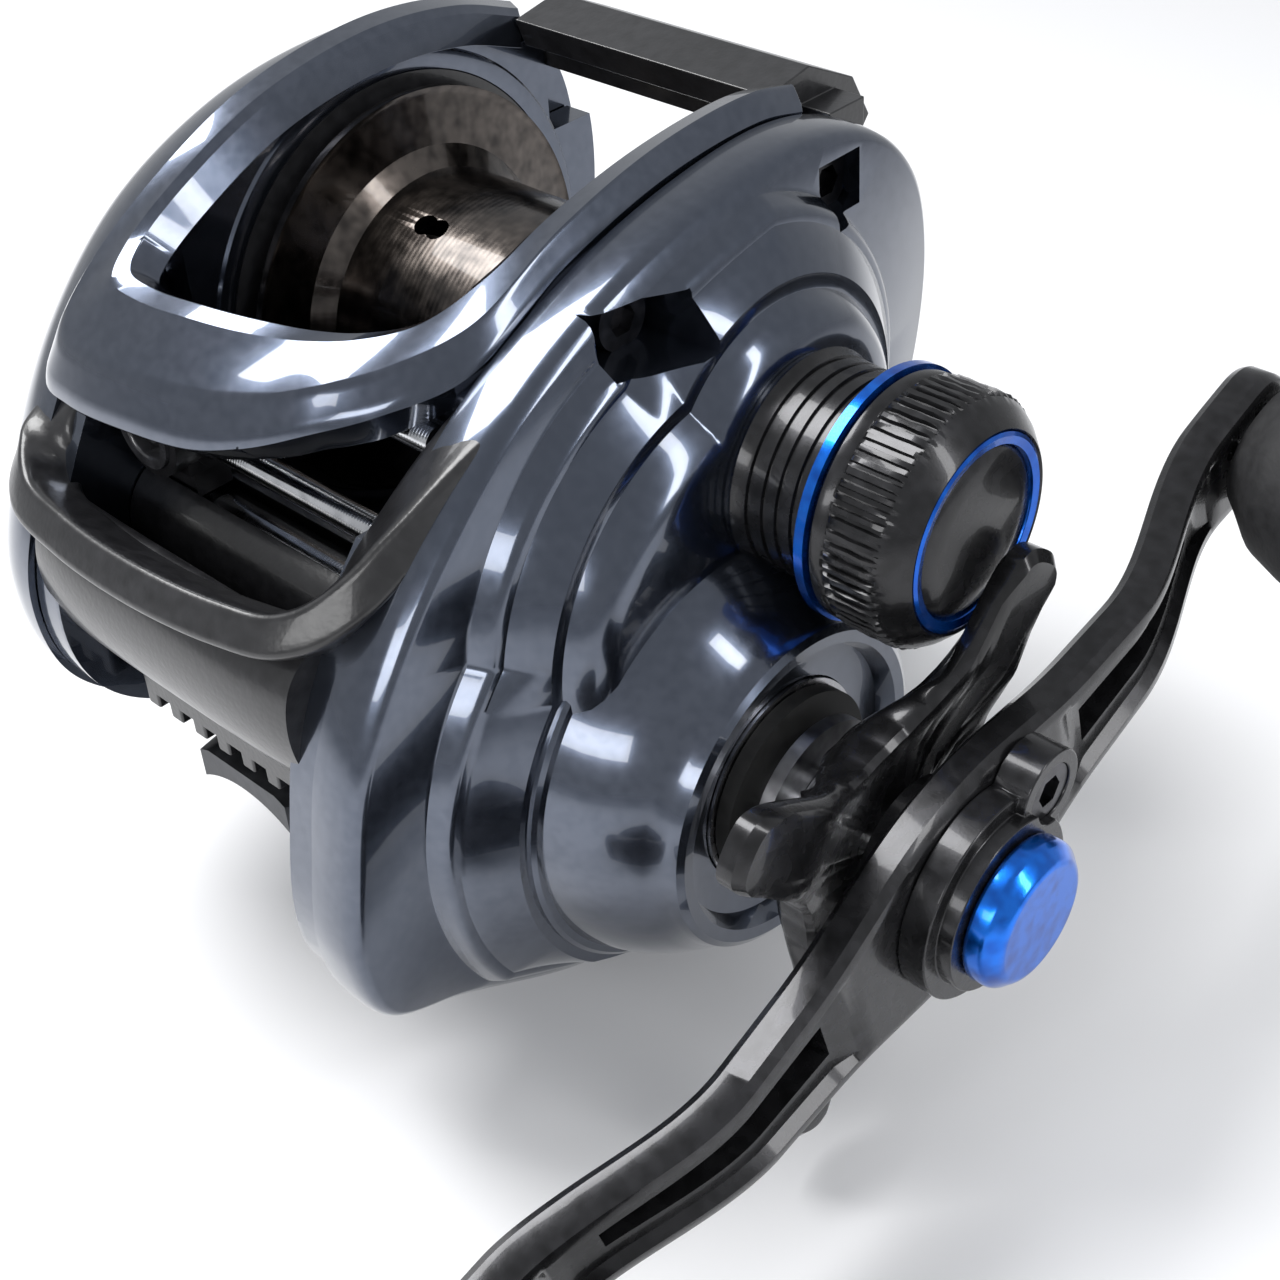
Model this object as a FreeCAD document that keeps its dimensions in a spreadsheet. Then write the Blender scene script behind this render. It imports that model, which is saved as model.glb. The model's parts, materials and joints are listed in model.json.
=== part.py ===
"""Low-profile baitcasting reel, left-hand retrieve, as an assembly of separate pieces.

Frame of the part: +X along the spool's axis towards the handle, +Y to the rear (thumb bar), +Z up.
The pieces are drawn about the middle of the spool and then raised together, so that the part's origin
is the middle of the reel foot's underside, below the spool's axis. Sizes are in millimetres.
"""

import FreeCAD, Part
import math
import os

from FreeCAD import Placement, Rotation, Vector

doc = FreeCAD.newDocument("baitcasting_reel")
sheet = doc.addObject("Spreadsheet::Sheet", "sizes")

DIMENSIONS = {
    # spool
    "flange_rad": 15.8, "flange_thick": 0.8, "spool_half": 11.6, "arbor_rad": 10.3, "arbor_wall": 0.9,
    "spool_shaft_rad": 1.5, "hub_rad": 3.2,
    # frame
    "wall_in": 12.8, "wall_thick": 2.6, "spool_gap": 0.8, "deck_thick": 3.0, "hood_thick": 2.2,
    # gear train
    "gear_module": 0.45, "main_teeth": 82, "pinion_teeth": 13, "gear_width": 2.6, "gear_start": 18.6,
    "worm_module": 0.6, "level_wind_teeth": 42, "worm_teeth": 23, "level_wind_width": 1.5, "level_wind_start": 16.2,
    "drive_dy": -8.4, "worm_dy": -23.5,
    # handle side plate and its dome
    "plate_wall": 1.6, "plate_face": 26.4, "dome_rad": 15.8, "dome_top_rad": 11.6, "dome_face": 32.6,
    # drive shaft, bearings, drag and star
    "shaft_rad": 2.8, "roller_rad": 7.6, "washer_rad": 14.2, "running_gap": 0.06, "sleeve_rad": 4.0,
    "star_reach": 21.4, "star_hub_rad": 7.4, "star_start": 34.4,
    # crank handle
    "crank_reach": 42.0, "crank_hub_rad": 8.0, "crank_thick": 3.0, "crank_start": 43.8, "crank_sweep": 4.0,
    "crank_angle": 16.0, "grip_rad": 9.0, "grip_length": 21.0, "grip_pin_rad": 2.0, "nut_rad": 5.2,
    "nut_end": 52.4,
    # cast control cap
    "boss_rad": 7.3, "boss_end": 32.6, "cap_rad": 8.7, "cap_start": 33.4, "cap_end": 40.6,
    # line guide
    "rail_rad": 1.1, "worm_rad": 2.6, "guide_ring_rad": 3.4, "guide_bore_rad": 1.8, "guide_start": -9.0,
    "guide_y": -25.8, "guide_z": 1.5, "guard_tube_rad": 4.3,
    # palm side
    "palm_depth": 12.0, "palm_wall": 1.6, "brake_rad": 14.2,
    # foot
    "foot_length": 62.0, "foot_width": 14.6, "foot_thick": 2.2, "foot_top": -21.6,
}
for row, (alias, value) in enumerate(DIMENSIONS.items(), start=1):
    sheet.set(f"A{row}", alias)
    sheet.set(f"B{row}", str(value))
    sheet.setAlias(f"B{row}", alias)
doc.recompute()


def size(alias):
    """The value of a named size in the sheet."""
    return float(getattr(sheet, alias))


# Places worked out from the driving sizes. The gear pairs set the distances between the shafts.
GEAR_CENTRES = size("gear_module") * (size("main_teeth") + size("pinion_teeth")) / 2
WORM_CENTRES = size("worm_module") * (size("level_wind_teeth") + size("worm_teeth")) / 2
DRIVE_Y = size("drive_dy")
DRIVE_Z = -math.sqrt(GEAR_CENTRES**2 - DRIVE_Y**2)
WORM_Y = size("worm_dy")
WORM_Z = DRIVE_Z + math.sqrt(WORM_CENTRES**2 - (WORM_Y - DRIVE_Y) ** 2)
WALL_OUT = size("wall_in") + size("wall_thick")
SPOOL_AXIS = (0.0, 0.0)
DRIVE_AXIS = (DRIVE_Y, DRIVE_Z)
WORM_AXIS = (WORM_Y, WORM_Z)
TO_SPOOL = math.degrees(math.atan2(-DRIVE_Z, -DRIVE_Y))
TO_WORM = math.degrees(math.atan2(WORM_Z - DRIVE_Z, WORM_Y - DRIVE_Y))
GRIP_FACE = size("crank_start") - size("crank_sweep") + size("crank_thick")

# Sizes that stay put: places in the side view (y, z), seats, screws and the clearances between neighbours.
GEARBOX_RAD = 21.4
STEP_RAD = 15.2
STEP_FACE = WALL_OUT + 4.8
WALL_INSET = 0.6
LOWER_RAIL = (-23.4, -0.2)
UPPER_RAIL = (-20.6, 6.6)
EAR_SLOT = (16.3, 20.9, 7.0, 15.6)
FOOT_SCREWS = (-7.0, 0.0, 7.0)
PLATE_SCREWS = ((-8.6, 11.4), (11.6, 13.2), (12.6, -12.4))
POCKET_HALVES = (3.2, 2.6)
SCREW_SEAT = WALL_OUT + 2.0
HEAD_RAD, HEAD_HEIGHT, SHANK_RAD, HEX_RAD = 2.1, 1.4, 0.98, 1.15
TAP_RAD, SHANK_HOLE, HEAD_HOLE, POST_RAD = 1.0, 1.25, 2.2, 2.9
SPOOL_SEAT, DRIVE_SEAT, WORM_SEAT, SEAT_GAP = 4.6, 4.2, 3.6, 0.05
LEFT_SEAT = 3.62
SLIP = 0.02
JOURNAL_RAD, JOURNAL_LEFT, JOURNAL_RIGHT, WORM_HALF = 1.5, -15.0, 18.2, 11.6
PAWL_RAD = 1.0
PRESSURE_ANGLE = 20
PINION_LEAD, PINION_FACE, PINION_COLLAR, PINION_END = 1.9, 5.2, (6.9, 7.8), 9.0
PINION_TAIL_RAD, PINION_COLLAR_RAD = 2.1, 2.9
YOKE_PINS, YOKE_PIN_RAD = (7.6, -7.6), 0.8
YOKE_HALF = PINION_TAIL_RAD + 1.3
RETAINER_OFF, RETAINER_ANGLE = 7.6, 52.0
RETAINER_START = size("crank_start") + size("crank_thick") + 0.03
RETAINER_TOP = RETAINER_START + 2.45
PALM_CENTRE = (-7.0, -3.0)
LOCK_X = -WALL_OUT - 4.0
LOCK_AT = (-6.0, -26.0)
LOCK_RAD = 1.6
SADDLE_RAD, SADDLE_DROP = 9.2, 8.6
THROUGH = ("-60", "60")
PARTS = []


def along_x(x, y=0.0, z=0.0):
    """Turns a solid made along +Z to run along +X, and puts it at a point."""
    return Placement(Vector(x, y, z), Rotation(Vector(0, 1, 0), 90))


def keep(piece, label):
    """Names a finished sub-part."""
    piece.Label = label
    PARTS.append(piece)
    return piece


def disc(radius, start, end, axis=SPOOL_AXIS):
    """A cylinder along X whose radius, start and end are expressions on the sheet."""
    c = doc.addObject("Part::Cylinder", "disc")
    c.Placement = along_x(0, *axis)
    c.setExpression("Radius", on_sheet(radius))
    c.setExpression("Height", f"({on_sheet(end)}) - ({on_sheet(start)})")
    c.setExpression("Placement.Base.x", on_sheet(start))
    return c


def on_sheet(text):
    """An expression on the sheet: each known alias gets the sheet's name in front of it."""
    words, word = [], ""
    for ch in str(text) + " ":
        if ch.isalnum() or ch == "_" or (ch == "." and word and word[0].isdigit()):
            word += ch
            continue
        words.append(f"sizes.{word}" if word in DIMENSIONS else word)
        words.append(ch)
        word = ""
    return "".join(words).strip()


def fuse(pieces):
    """The union of the pieces, or the only one itself."""
    if len(pieces) == 1:
        return pieces[0]
    f = doc.addObject("Part::MultiFuse", "fused")
    f.Shapes = pieces
    f.Refine = True
    return f


def cut(base, tools):
    c = doc.addObject("Part::Cut", "cut")
    c.Base = base
    c.Tool = fuse(tools)
    return c


def turned(label, steps, bores=(), axis=SPOOL_AXIS):
    """A turned piece: discs (radius, start, end) on one axis, less its bores."""
    body = fuse([disc(*s, axis=axis) for s in steps])
    if bores:
        body = cut(body, [disc(*b, axis=axis) for b in bores])
    return keep(body, label)


def shaped(label, shape):
    """A sub-part whose shape comes from Part's own functions, worked out from the sheet."""
    f = doc.addObject("Part::Feature", label)
    f.Shape = shape
    return keep(f, label)


# ---- plain shapes used by the free-form pieces -------------------------------------------------


def side_wire(points, x=0.0, closed=True):
    """A smooth closed outline in the plane of constant X, through points (y, z)."""
    curve = Part.BSplineCurve()
    curve.interpolate([Vector(x, y, z) for y, z in points], PeriodicFlag=closed)
    return Part.Wire(curve.toShape())


def side_polygon(points, x=0.0):
    """A straight-edged closed outline in the plane of constant X."""
    return Part.makePolygon([Vector(x, y, z) for y, z in points + points[:1]])


def prism_x(wire, start, end):
    """The solid between two planes of constant X inside an outline."""
    face = Part.Face(wire)
    face.translate(Vector(start, 0, 0))
    return face.extrude(Vector(end - start, 0, 0))


def cylinder_x(radius, start, end, axis=SPOOL_AXIS):
    return Part.makeCylinder(radius, end - start, Vector(start, *axis), Vector(1, 0, 0))


def box(low, high):
    return Part.makeBox(high[0] - low[0], high[1] - low[1], high[2] - low[2], Vector(*low))


def polar(axis, radius, degrees):
    """The point (y, z) at a radius and an angle round an axis along X."""
    a = math.radians(degrees)
    return axis[0] + radius * math.cos(a), axis[1] + radius * math.sin(a)


# ---- outlines seen along X ---------------------------------------------------------------------

def outline(grow=0.0):
    """The handle side's outline: an arch over the spool, a blunt nose and the round gearbox below."""
    g = grow
    points = [(-9.4, 14.4 + g), (0.0, 16.8 + g), (9.1, 17.4 + g), (15.7 + 0.7 * g, 15.6 + 0.7 * g)]
    points += [(20.4 + g, 11.2), (22.2 + g, 4.6), (21.2 + g, -4.6), (17.0 + g, -14.0)]
    points += [polar(DRIVE_AXIS, GEARBOX_RAD + g, a) for a in (-22, -46, -70, -94, -118)]
    points += [(-29.4, -32.4 - g), (-35.6 - g, -29.2 - 0.5 * g), (-37.2 - g, -23.6), (-36.2 - g, -15.6)]
    points += [(-34.6 - g, -9.0), (-31.4 - 0.8 * g, -3.0 + 0.3 * g), (-26.4 - 0.6 * g, 3.4 + 0.7 * g)]
    return points + [(-19.5 - 0.4 * g, 9.6 + 0.9 * g)]


def palm_outline(grow=0.0):
    """The palm side's outline: a slightly higher arch, the same nose and a shallower belly."""
    g = grow
    points = [(-9.4, 17.4 + g), (0.0, 18.9 + g), (9.1, 18.3 + g), (15.7 + 0.7 * g, 15.4 + 0.7 * g)]
    points += [(20.2 + g, 10.6), (21.6 + g, 3.6), (20.0 + g, -5.6), (15.2 + 0.7 * g, -14.4 - 0.6 * g)]
    points += [(7.0, -20.8 - g), (-5.0, -24.2 - g), (-17.0, -25.2 - g), (-28.0, -23.8 - g)]
    points += [(-34.0 - g, -18.6), (-35.4 - g, -11.0), (-32.8 - g, -3.4), (-27.6 - 0.7 * g, 5.2 + 0.6 * g)]
    return points + [(-19.5 - 0.5 * g, 12.8 + 0.8 * g)]


def hull_prism(spool_rad, drive_rad, start, end):
    """The prism round a circle on the spool's axis and a circle on the drive axis, with its tangents."""
    lean = math.degrees(math.acos((drive_rad - spool_rad) / GEAR_CENTRES))
    tangents = [TO_SPOOL - lean, TO_SPOOL + lean]
    corners = [polar(SPOOL_AXIS, spool_rad, a) for a in tangents]
    corners += [polar(DRIVE_AXIS, drive_rad, a) for a in reversed(tangents)]
    web = prism_x(side_polygon(corners), start, end)
    return web.fuse([cylinder_x(spool_rad, start, end), cylinder_x(drive_rad, start, end, DRIVE_AXIS)])


# ---- frame -------------------------------------------------------------------------------------


def arch(points, low, high, start, end):
    """The band between two offsets of an outline."""
    band = prism_x(side_wire(points(high)), start, end)
    return band.cut(prism_x(side_wire(points(low)), start - 1, end + 1))


def make_hood():
    """The top hood in front of the spool: a bent plate, higher on the palm side, its handle corner cut away."""
    palm = [(-30.4, 3.8), (-29.0, 7.6), (-25.6, 11.2), (-21.0, 14.2), (-21.6, 11.4), (-24.4, 9.2), (-27.2, 6.2),
            (-28.3, 3.2)]
    handle = [(-30.0, 3.4), (-28.2, 7.0), (-24.8, 9.6), (-20.0, 11.6), (-20.4, 9.4), (-24.0, 7.6), (-26.8, 5.6),
              (-28.0, 3.0)]
    hood = Part.makeLoft([side_polygon(palm, -WALL_OUT), side_polygon(handle, WALL_OUT)], True, True)
    corner = Part.Face(Part.makePolygon([Vector(3, -31, 0), Vector(WALL_OUT + 1, -23.5, 0),
                                         Vector(WALL_OUT + 1, -31, 0), Vector(3, -31, 0)]))
    return hood.cut(corner.extrude(Vector(0, 0, 30)))


def make_frame():
    """The one-piece frame: two side walls, the hood, the deck over the foot and the seats for the bearings."""
    wall_in, hood_thick = size("wall_in"), size("hood_thick")
    deck_low, deck_high = size("foot_top"), size("foot_top") + size("deck_thick")
    flange_hole = size("flange_rad") + size("spool_gap")
    deck = box((-wall_in - 0.1, -24.0, deck_low), (wall_in + 0.1, 17.0, deck_high))
    pieces = [
        prism_x(side_wire(outline(-WALL_INSET)), wall_in, WALL_OUT),
        prism_x(side_wire(palm_outline(-WALL_INSET)), -WALL_OUT, -wall_in),
        make_hood(),
        arch(outline, -WALL_INSET - hood_thick, -WALL_INSET, 12.0, WALL_OUT).common(
            box((11, -20, 2), (WALL_OUT, 12.6, 30))),
        deck.cut(cylinder_x(flange_hole, -wall_in, wall_in)),
        box((-wall_in - 0.1, 14.2, deck_low + 1), (wall_in + 0.1, 17.2, -8.0)),
        box((-wall_in - 0.1, -31.0, -17.4), (wall_in + 0.1, -22.0, -14.6)),
        box((-wall_in - 0.1, -24.0, deck_low), (wall_in + 0.1, -22.0, -14.6)),
    ]
    shape = pieces[0].fuse(pieces[1:]).removeSplitter()
    shape = shape.cut(cylinder_x(flange_hole, -WALL_OUT - 1, -wall_in + 0.05))
    shape = shape.cut(cylinder_x(flange_hole, 11.0, wall_in + 0.6))
    shape = shape.cut(cylinder_x(SPOOL_SEAT, wall_in - 1, WALL_OUT + 1))
    shape = shape.cut(cylinder_x(DRIVE_SEAT, wall_in - 1, WALL_OUT + 1, DRIVE_AXIS))
    shape = shape.cut(cylinder_x(WORM_SEAT, -WALL_OUT - 1, WALL_OUT + 1, WORM_AXIS))
    for rail in (LOWER_RAIL, UPPER_RAIL):
        shape = shape.cut(cylinder_x(size("rail_rad"), -WALL_OUT + 1.0, WALL_OUT - 1.0, rail))
    for y in FOOT_SCREWS:
        shape = shape.cut(Part.makeCylinder(TAP_RAD, 20, Vector(0, y, deck_low - 5), Vector(0, 0, 1)))
    for y, z in PLATE_SCREWS:
        shape = shape.cut(cylinder_x(TAP_RAD, wall_in - 1, WALL_OUT + 1, (y, z)))
    low_y, high_y, low_z, high_z = EAR_SLOT
    return shape.cut(box((-WALL_OUT - 1, low_y, low_z), (WALL_OUT + 1, high_y, high_z)))


shaped("frame", make_frame())


# ---- rails, pillars and level wind -------------------------------------------------------------

for label, where in (("lower_rail", LOWER_RAIL), ("upper_rail", UPPER_RAIL)):
    turned(label, [(f"rail_rad - {SLIP}", "-wall_in - wall_thick + 1.1", "wall_in + wall_thick - 1.1")], axis=where)


def make_worm_shaft():
    """The level-wind worm: a shaft whose journals run in the two bushings and carry the gear."""
    rad = size("worm_rad")
    core = cylinder_x(rad, -WORM_HALF, WORM_HALF, WORM_AXIS)
    return core.fuse([cylinder_x(JOURNAL_RAD, JOURNAL_LEFT, -WORM_HALF, WORM_AXIS),
                      cylinder_x(JOURNAL_RAD, WORM_HALF, JOURNAL_RIGHT, WORM_AXIS)])


shaped("worm_shaft", make_worm_shaft())
for label, start, end in (("worm_bushing_left", "-wall_in - wall_thick + 0.4", "-wall_in - 0.2"),
                          ("worm_bushing_right", "wall_in + 0.2", "wall_in + wall_thick - 0.1")):
    turned(label, [(f"{WORM_SEAT - SEAT_GAP}", start, end)], [(f"{JOURNAL_RAD} + running_gap", *THROUGH)],
           axis=WORM_AXIS)


def make_guard_tube():
    """The slotted tube round the worm: open to the front, where the pawl comes through."""
    rad = size("guard_tube_rad")
    tube = cylinder_x(rad, -12.7, 12.7, WORM_AXIS).cut(cylinder_x(rad - 1.0, -13, 13, WORM_AXIS))
    slot = box((-11.8, WORM_Y - 1.9, WORM_Z + 1.0), (11.8, WORM_Y + 1.9, WORM_Z + 8))
    return tube.cut(slot)


shaped("worm_guard_tube", make_guard_tube())


def make_carriage():
    """The line guide's carriage: the ring's housing, a collar on the lower rail and a post for the pawl."""
    x, gy, gz = size("guide_start"), size("guide_y"), size("guide_z")
    housing = Part.makeCylinder(size("guide_ring_rad"), 2.6, Vector(x, gy - 1.3, gz), Vector(0, 1, 0))
    collar = cylinder_x(1.7, x - 2.6, x + 2.6, LOWER_RAIL)
    neck = box((x - 2.4, gy, gz - 3.4), (x + 2.4, LOWER_RAIL[0], LOWER_RAIL[1] + 0.6))
    neck = neck.cut(cylinder_x(size("guard_tube_rad") + 0.3, x - 5, x + 5, WORM_AXIS))
    post = box((x - 1.5, WORM_Y - 1.5, WORM_Z + 3.0), (x + 1.5, WORM_Y + 1.5, LOWER_RAIL[1]))
    shape = housing.fuse([collar, neck, post])
    shape = shape.cut(Part.makeCylinder(size("guide_bore_rad") + 0.9, 4.0, Vector(x, gy - 2, gz), Vector(0, 1, 0)))
    shape = shape.cut(cylinder_x(size("rail_rad") + size("running_gap"), x - 5, x + 5, LOWER_RAIL))
    return shape.cut(Part.makeCylinder(PAWL_RAD + 0.03, 2.4, Vector(x, WORM_Y, WORM_Z + 2.4), Vector(0, 0, 1)))


shaped("line_guide_carriage", make_carriage())


def make_guide_ring():
    """The hard ring the line runs through, rounded at its bore."""
    x, gy, gz = size("guide_start"), size("guide_y"), size("guide_z")
    outer, inner = size("guide_bore_rad") + 0.88, size("guide_bore_rad")
    ring = Part.makeCylinder(outer, 2.8, Vector(x, gy - 1.6, gz), Vector(0, 1, 0))
    ring = ring.cut(Part.makeCylinder(inner, 8, Vector(x, gy - 4, gz), Vector(0, 1, 0)))
    return ring.makeFillet(0.3, [e for e in ring.Edges if abs(e.Length - 2 * math.pi * inner) < 0.2])


shaped("line_guide_ring", make_guide_ring())


def make_pawl():
    """The pawl that runs in the worm's groove, held in the carriage's post."""
    start = Vector(size("guide_start"), WORM_Y, WORM_Z + size("worm_rad") + 0.12)
    return Part.makeCylinder(PAWL_RAD, 1.9, start, Vector(0, 0, 1))


shaped("pawl", make_pawl())


# ---- gears -------------------------------------------------------------------------------------


def gear_wire(teeth, module, phase, addendum=0.8, dedendum=1.15, slack=0.06):
    """An involute spur gear's outline in the YZ plane, with one tooth centred on the phase angle."""
    pitch_r = teeth * module / 2
    base_r = pitch_r * math.cos(math.radians(PRESSURE_ANGLE))
    tip_r, root_r = pitch_r + addendum * module, pitch_r - dedendum * module

    def involute(r):
        tangent = math.sqrt(max((r / base_r) ** 2 - 1, 0))
        return tangent - math.atan(tangent)

    half_at_pitch = math.pi / (2 * teeth) - slack / (2 * pitch_r)
    half_at_base = half_at_pitch + involute(pitch_r)
    radii = [max(base_r, root_r)] + [base_r + (tip_r - base_r) * k for k in (0.3, 0.65, 1.0)]
    points = []
    for i in range(teeth):
        middle = math.radians(phase) + 2 * math.pi * i / teeth
        flank = [(r, half_at_base - involute(r)) for r in radii]
        side = [(root_r, half_at_base)] + flank if root_r < base_r else flank
        points += [(r, middle - h) for r, h in side] + [(r, middle + h) for r, h in reversed(side)]
    return side_polygon([(r * math.cos(a), r * math.sin(a)) for r, a in points])


def gear(teeth, module, phase, start, width, axis, bore):
    """A spur gear on an axis along X, with a round bore."""
    solid = prism_x(gear_wire(int(teeth), module, phase), start, start + width)
    solid = solid.cut(Part.makeCylinder(bore, width + 2, Vector(start - 1, 0, 0), Vector(1, 0, 0)))
    solid.translate(Vector(0, *axis))
    return solid


def make_main_gear():
    start, width = size("gear_start"), size("gear_width")
    solid = gear(size("main_teeth"), size("gear_module"), TO_SPOOL, start, width, DRIVE_AXIS, size("sleeve_rad"))
    recess = cylinder_x(size("washer_rad") + 0.3, start + 0.9, start + width + 1, DRIVE_AXIS)
    return solid.cut(recess)


shaped("main_gear", make_main_gear())


def make_pinion():
    teeth, module = size("pinion_teeth"), size("gear_module")
    phase = TO_SPOOL + 180 + 180 / teeth
    start = size("gear_start") - PINION_LEAD
    bore = size("spool_shaft_rad") + size("running_gap")
    solid = gear(teeth, module, phase, start, PINION_FACE, SPOOL_AXIS, bore)
    collar = cylinder_x(PINION_COLLAR_RAD, start + PINION_COLLAR[0], start + PINION_COLLAR[1])
    tail = cylinder_x(PINION_TAIL_RAD, start + PINION_FACE, start + PINION_END).fuse([collar])
    tail = tail.cut(cylinder_x(bore, 0, 40))
    slot = box((start - 1, -3.6, -0.62), (start + 1.25, 3.6, 0.62))
    return solid.fuse([tail]).removeSplitter().cut(slot)


shaped("pinion", make_pinion())
shaped("level_wind_gear", gear(size("level_wind_teeth"), size("worm_module"), TO_WORM, size("level_wind_start"),
                          size("level_wind_width"), DRIVE_AXIS, size("shaft_rad") + 0.01))
shaped("worm_gear", gear(size("worm_teeth"), size("worm_module"), TO_WORM + 180 + 180 / size("worm_teeth"),
                         size("level_wind_start"), size("level_wind_width"), WORM_AXIS, JOURNAL_RAD))


# ---- drive shaft, drag and anti-reverse --------------------------------------------------------

turned("drive_shaft", [("shaft_rad", "wall_in + 0.4", "nut_end - 2.45"),
                       ("sleeve_rad + 0.9", "level_wind_start + level_wind_width", "gear_start - 0.05")],
       axis=DRIVE_AXIS)
turned("drive_shaft_bearing", [(f"{DRIVE_SEAT - SEAT_GAP}", "wall_in + 0.2", "wall_in + wall_thick - 0.1")],
       [("shaft_rad + running_gap", *THROUGH)], axis=DRIVE_AXIS)
turned("inner_sleeve", [("sleeve_rad - 0.02", "gear_start", "star_start - 0.6")],
       [("shaft_rad + 0.02", *THROUGH)], axis=DRIVE_AXIS)
turned("drag_washers", [("washer_rad", "gear_start + 0.92", "gear_start + 1.5")],
       [("sleeve_rad + 0.1", *THROUGH)], axis=DRIVE_AXIS)
turned("drag_plate", [("washer_rad", "gear_start + 1.52", "gear_start + 2.5"),
       ("8.0", "gear_start + 2.5", "gear_start + 3.3")], [("sleeve_rad + 0.1", *THROUGH)], axis=DRIVE_AXIS)
turned("roller_bearing", [("roller_rad", "plate_face - 0.8", "dome_face - 1.0")],
       [("sleeve_rad + running_gap", *THROUGH)], axis=DRIVE_AXIS)
turned("shaft_seal", [("roller_rad - 0.4", "dome_face - 0.9", "dome_face + 0.2")],
       [("sleeve_rad + running_gap", *THROUGH)], axis=DRIVE_AXIS)
turned("spring_washers", [("6.0", "star_start - 0.5", "star_start + 0.5")],
       [("shaft_rad + 0.05", *THROUGH)], axis=DRIVE_AXIS)


# ---- handle side plate, dome, screws -----------------------------------------------------------


def make_handle_plate():
    """The handle side plate: a skirt on the frame's outline, then a second step round both axes."""
    wall, face = size("plate_wall"), size("plate_face")
    shell = prism_x(side_wire(outline()), WALL_OUT + 0.05, STEP_FACE)
    shell = shell.fuse([hull_prism(STEP_RAD, GEARBOX_RAD - 0.8, STEP_FACE - 1, face)])
    shell = shell.fuse([cylinder_x(size("boss_rad"), face - wall, size("boss_end"))])
    shell = shell.removeSplitter()
    skirt_in = prism_x(side_wire(outline(-wall)), WALL_OUT - 1, STEP_FACE - wall)
    step_in = hull_prism(STEP_RAD - wall, GEARBOX_RAD - 0.8 - wall, STEP_FACE - 3, face - wall)
    posts = [cylinder_x(POST_RAD, WALL_OUT + 0.06, STEP_FACE, s) for s in PLATE_SCREWS]
    shell = shell.cut(skirt_in.fuse([step_in]))
    shell = shell.fuse([post.common(prism_x(side_wire(outline()), WALL_OUT, STEP_FACE)) for post in posts])
    for s in PLATE_SCREWS:
        shell = shell.cut(cylinder_x(SHANK_HOLE, 0, face + 5, s)).cut(cylinder_x(HEAD_HOLE, SCREW_SEAT, face + 5, s))
    for (y, z), half in zip(PLATE_SCREWS, POCKET_HALVES):
        shell = shell.cut(box((SCREW_SEAT + 1.4, y - half, z - half), (face + 3, y + half, z + 7)))
    shell = shell.cut(cylinder_x(size("boss_rad") - 1.6, face - wall - 1, size("boss_end") - 1.2))
    shell = shell.cut(cylinder_x(size("spool_shaft_rad") + 0.3, face - wall, size("boss_end") + 1))
    shell = shell.cut(cylinder_x(size("dome_top_rad"), face - wall - 1, face + 1, DRIVE_AXIS))
    return max(shell.Solids, key=lambda solid: solid.Volume)


shaped("handle_side_plate", make_handle_plate())


def make_dome():
    """The gearbox dome: a truncated cone over the roller bearing, relieved where the cast cap passes."""
    low, high = size("plate_face") + 0.05, size("dome_face")
    lip = size("dome_rad")
    cone = Part.makeCone(lip, size("dome_top_rad") + 0.6, high - low, Vector(low, *DRIVE_AXIS), Vector(1, 0, 0))
    cone = cone.fuse([cylinder_x(size("dome_top_rad") - 0.05, low - size("plate_wall"), low + 1, DRIVE_AXIS)])
    cone = cone.cut(cylinder_x(size("roller_rad") + 0.02, low - 5, high - 0.8, DRIVE_AXIS))
    cone = cone.cut(cylinder_x(size("roller_rad") - 0.38, high - 2, high + 1, DRIVE_AXIS))
    cone = cone.cut(cylinder_x(size("dome_top_rad") - 1.2, high - 0.7, high + 1, DRIVE_AXIS).cut(
        cylinder_x(size("roller_rad") + 0.8, high - 2, high + 2, DRIVE_AXIS)))
    cone = cone.cut(cylinder_x(size("cap_rad") + 1.0, low - 5, high + 5))
    return cone


shaped("gearbox_dome", make_dome())


def screw(x_head, depth, axis, head=HEAD_RAD, shank=SHANK_RAD):
    """A socket screw along X, its head's face at x_head; the shank stands for the thread."""
    body = cylinder_x(head, x_head - HEAD_HEIGHT, x_head, axis)
    body = body.fuse([cylinder_x(shank, x_head - depth, x_head - HEAD_HEIGHT, axis)])
    hexagon = [polar(axis, HEX_RAD, 60 * k) for k in range(6)]
    return body.cut(prism_x(side_polygon(hexagon), x_head - 0.9, x_head + 1))


shaped("plate_screws", Part.makeCompound([screw(SCREW_SEAT + HEAD_HEIGHT + SEAT_GAP, 5.2, s) for s in PLATE_SCREWS]))


# ---- star drag, crank and grips ----------------------------------------------------------------


def star_outline(reach, waist, arms=4, first=54.0):
    """A star: broad blunt tips joined by round scallops."""
    points = []
    for k in range(arms):
        middle, half = first + 360.0 * k / arms, 7.0
        points += [(reach - 0.8, middle - half), (reach, middle), (reach - 0.8, middle + half)]
        points += [(waist + 1.6, middle + 24), (waist, middle + 180.0 / arms),
                   (waist + 1.6, middle + 360.0 / arms - 24)]
    return [polar(DRIVE_AXIS, r, a) for r, a in points]


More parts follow.
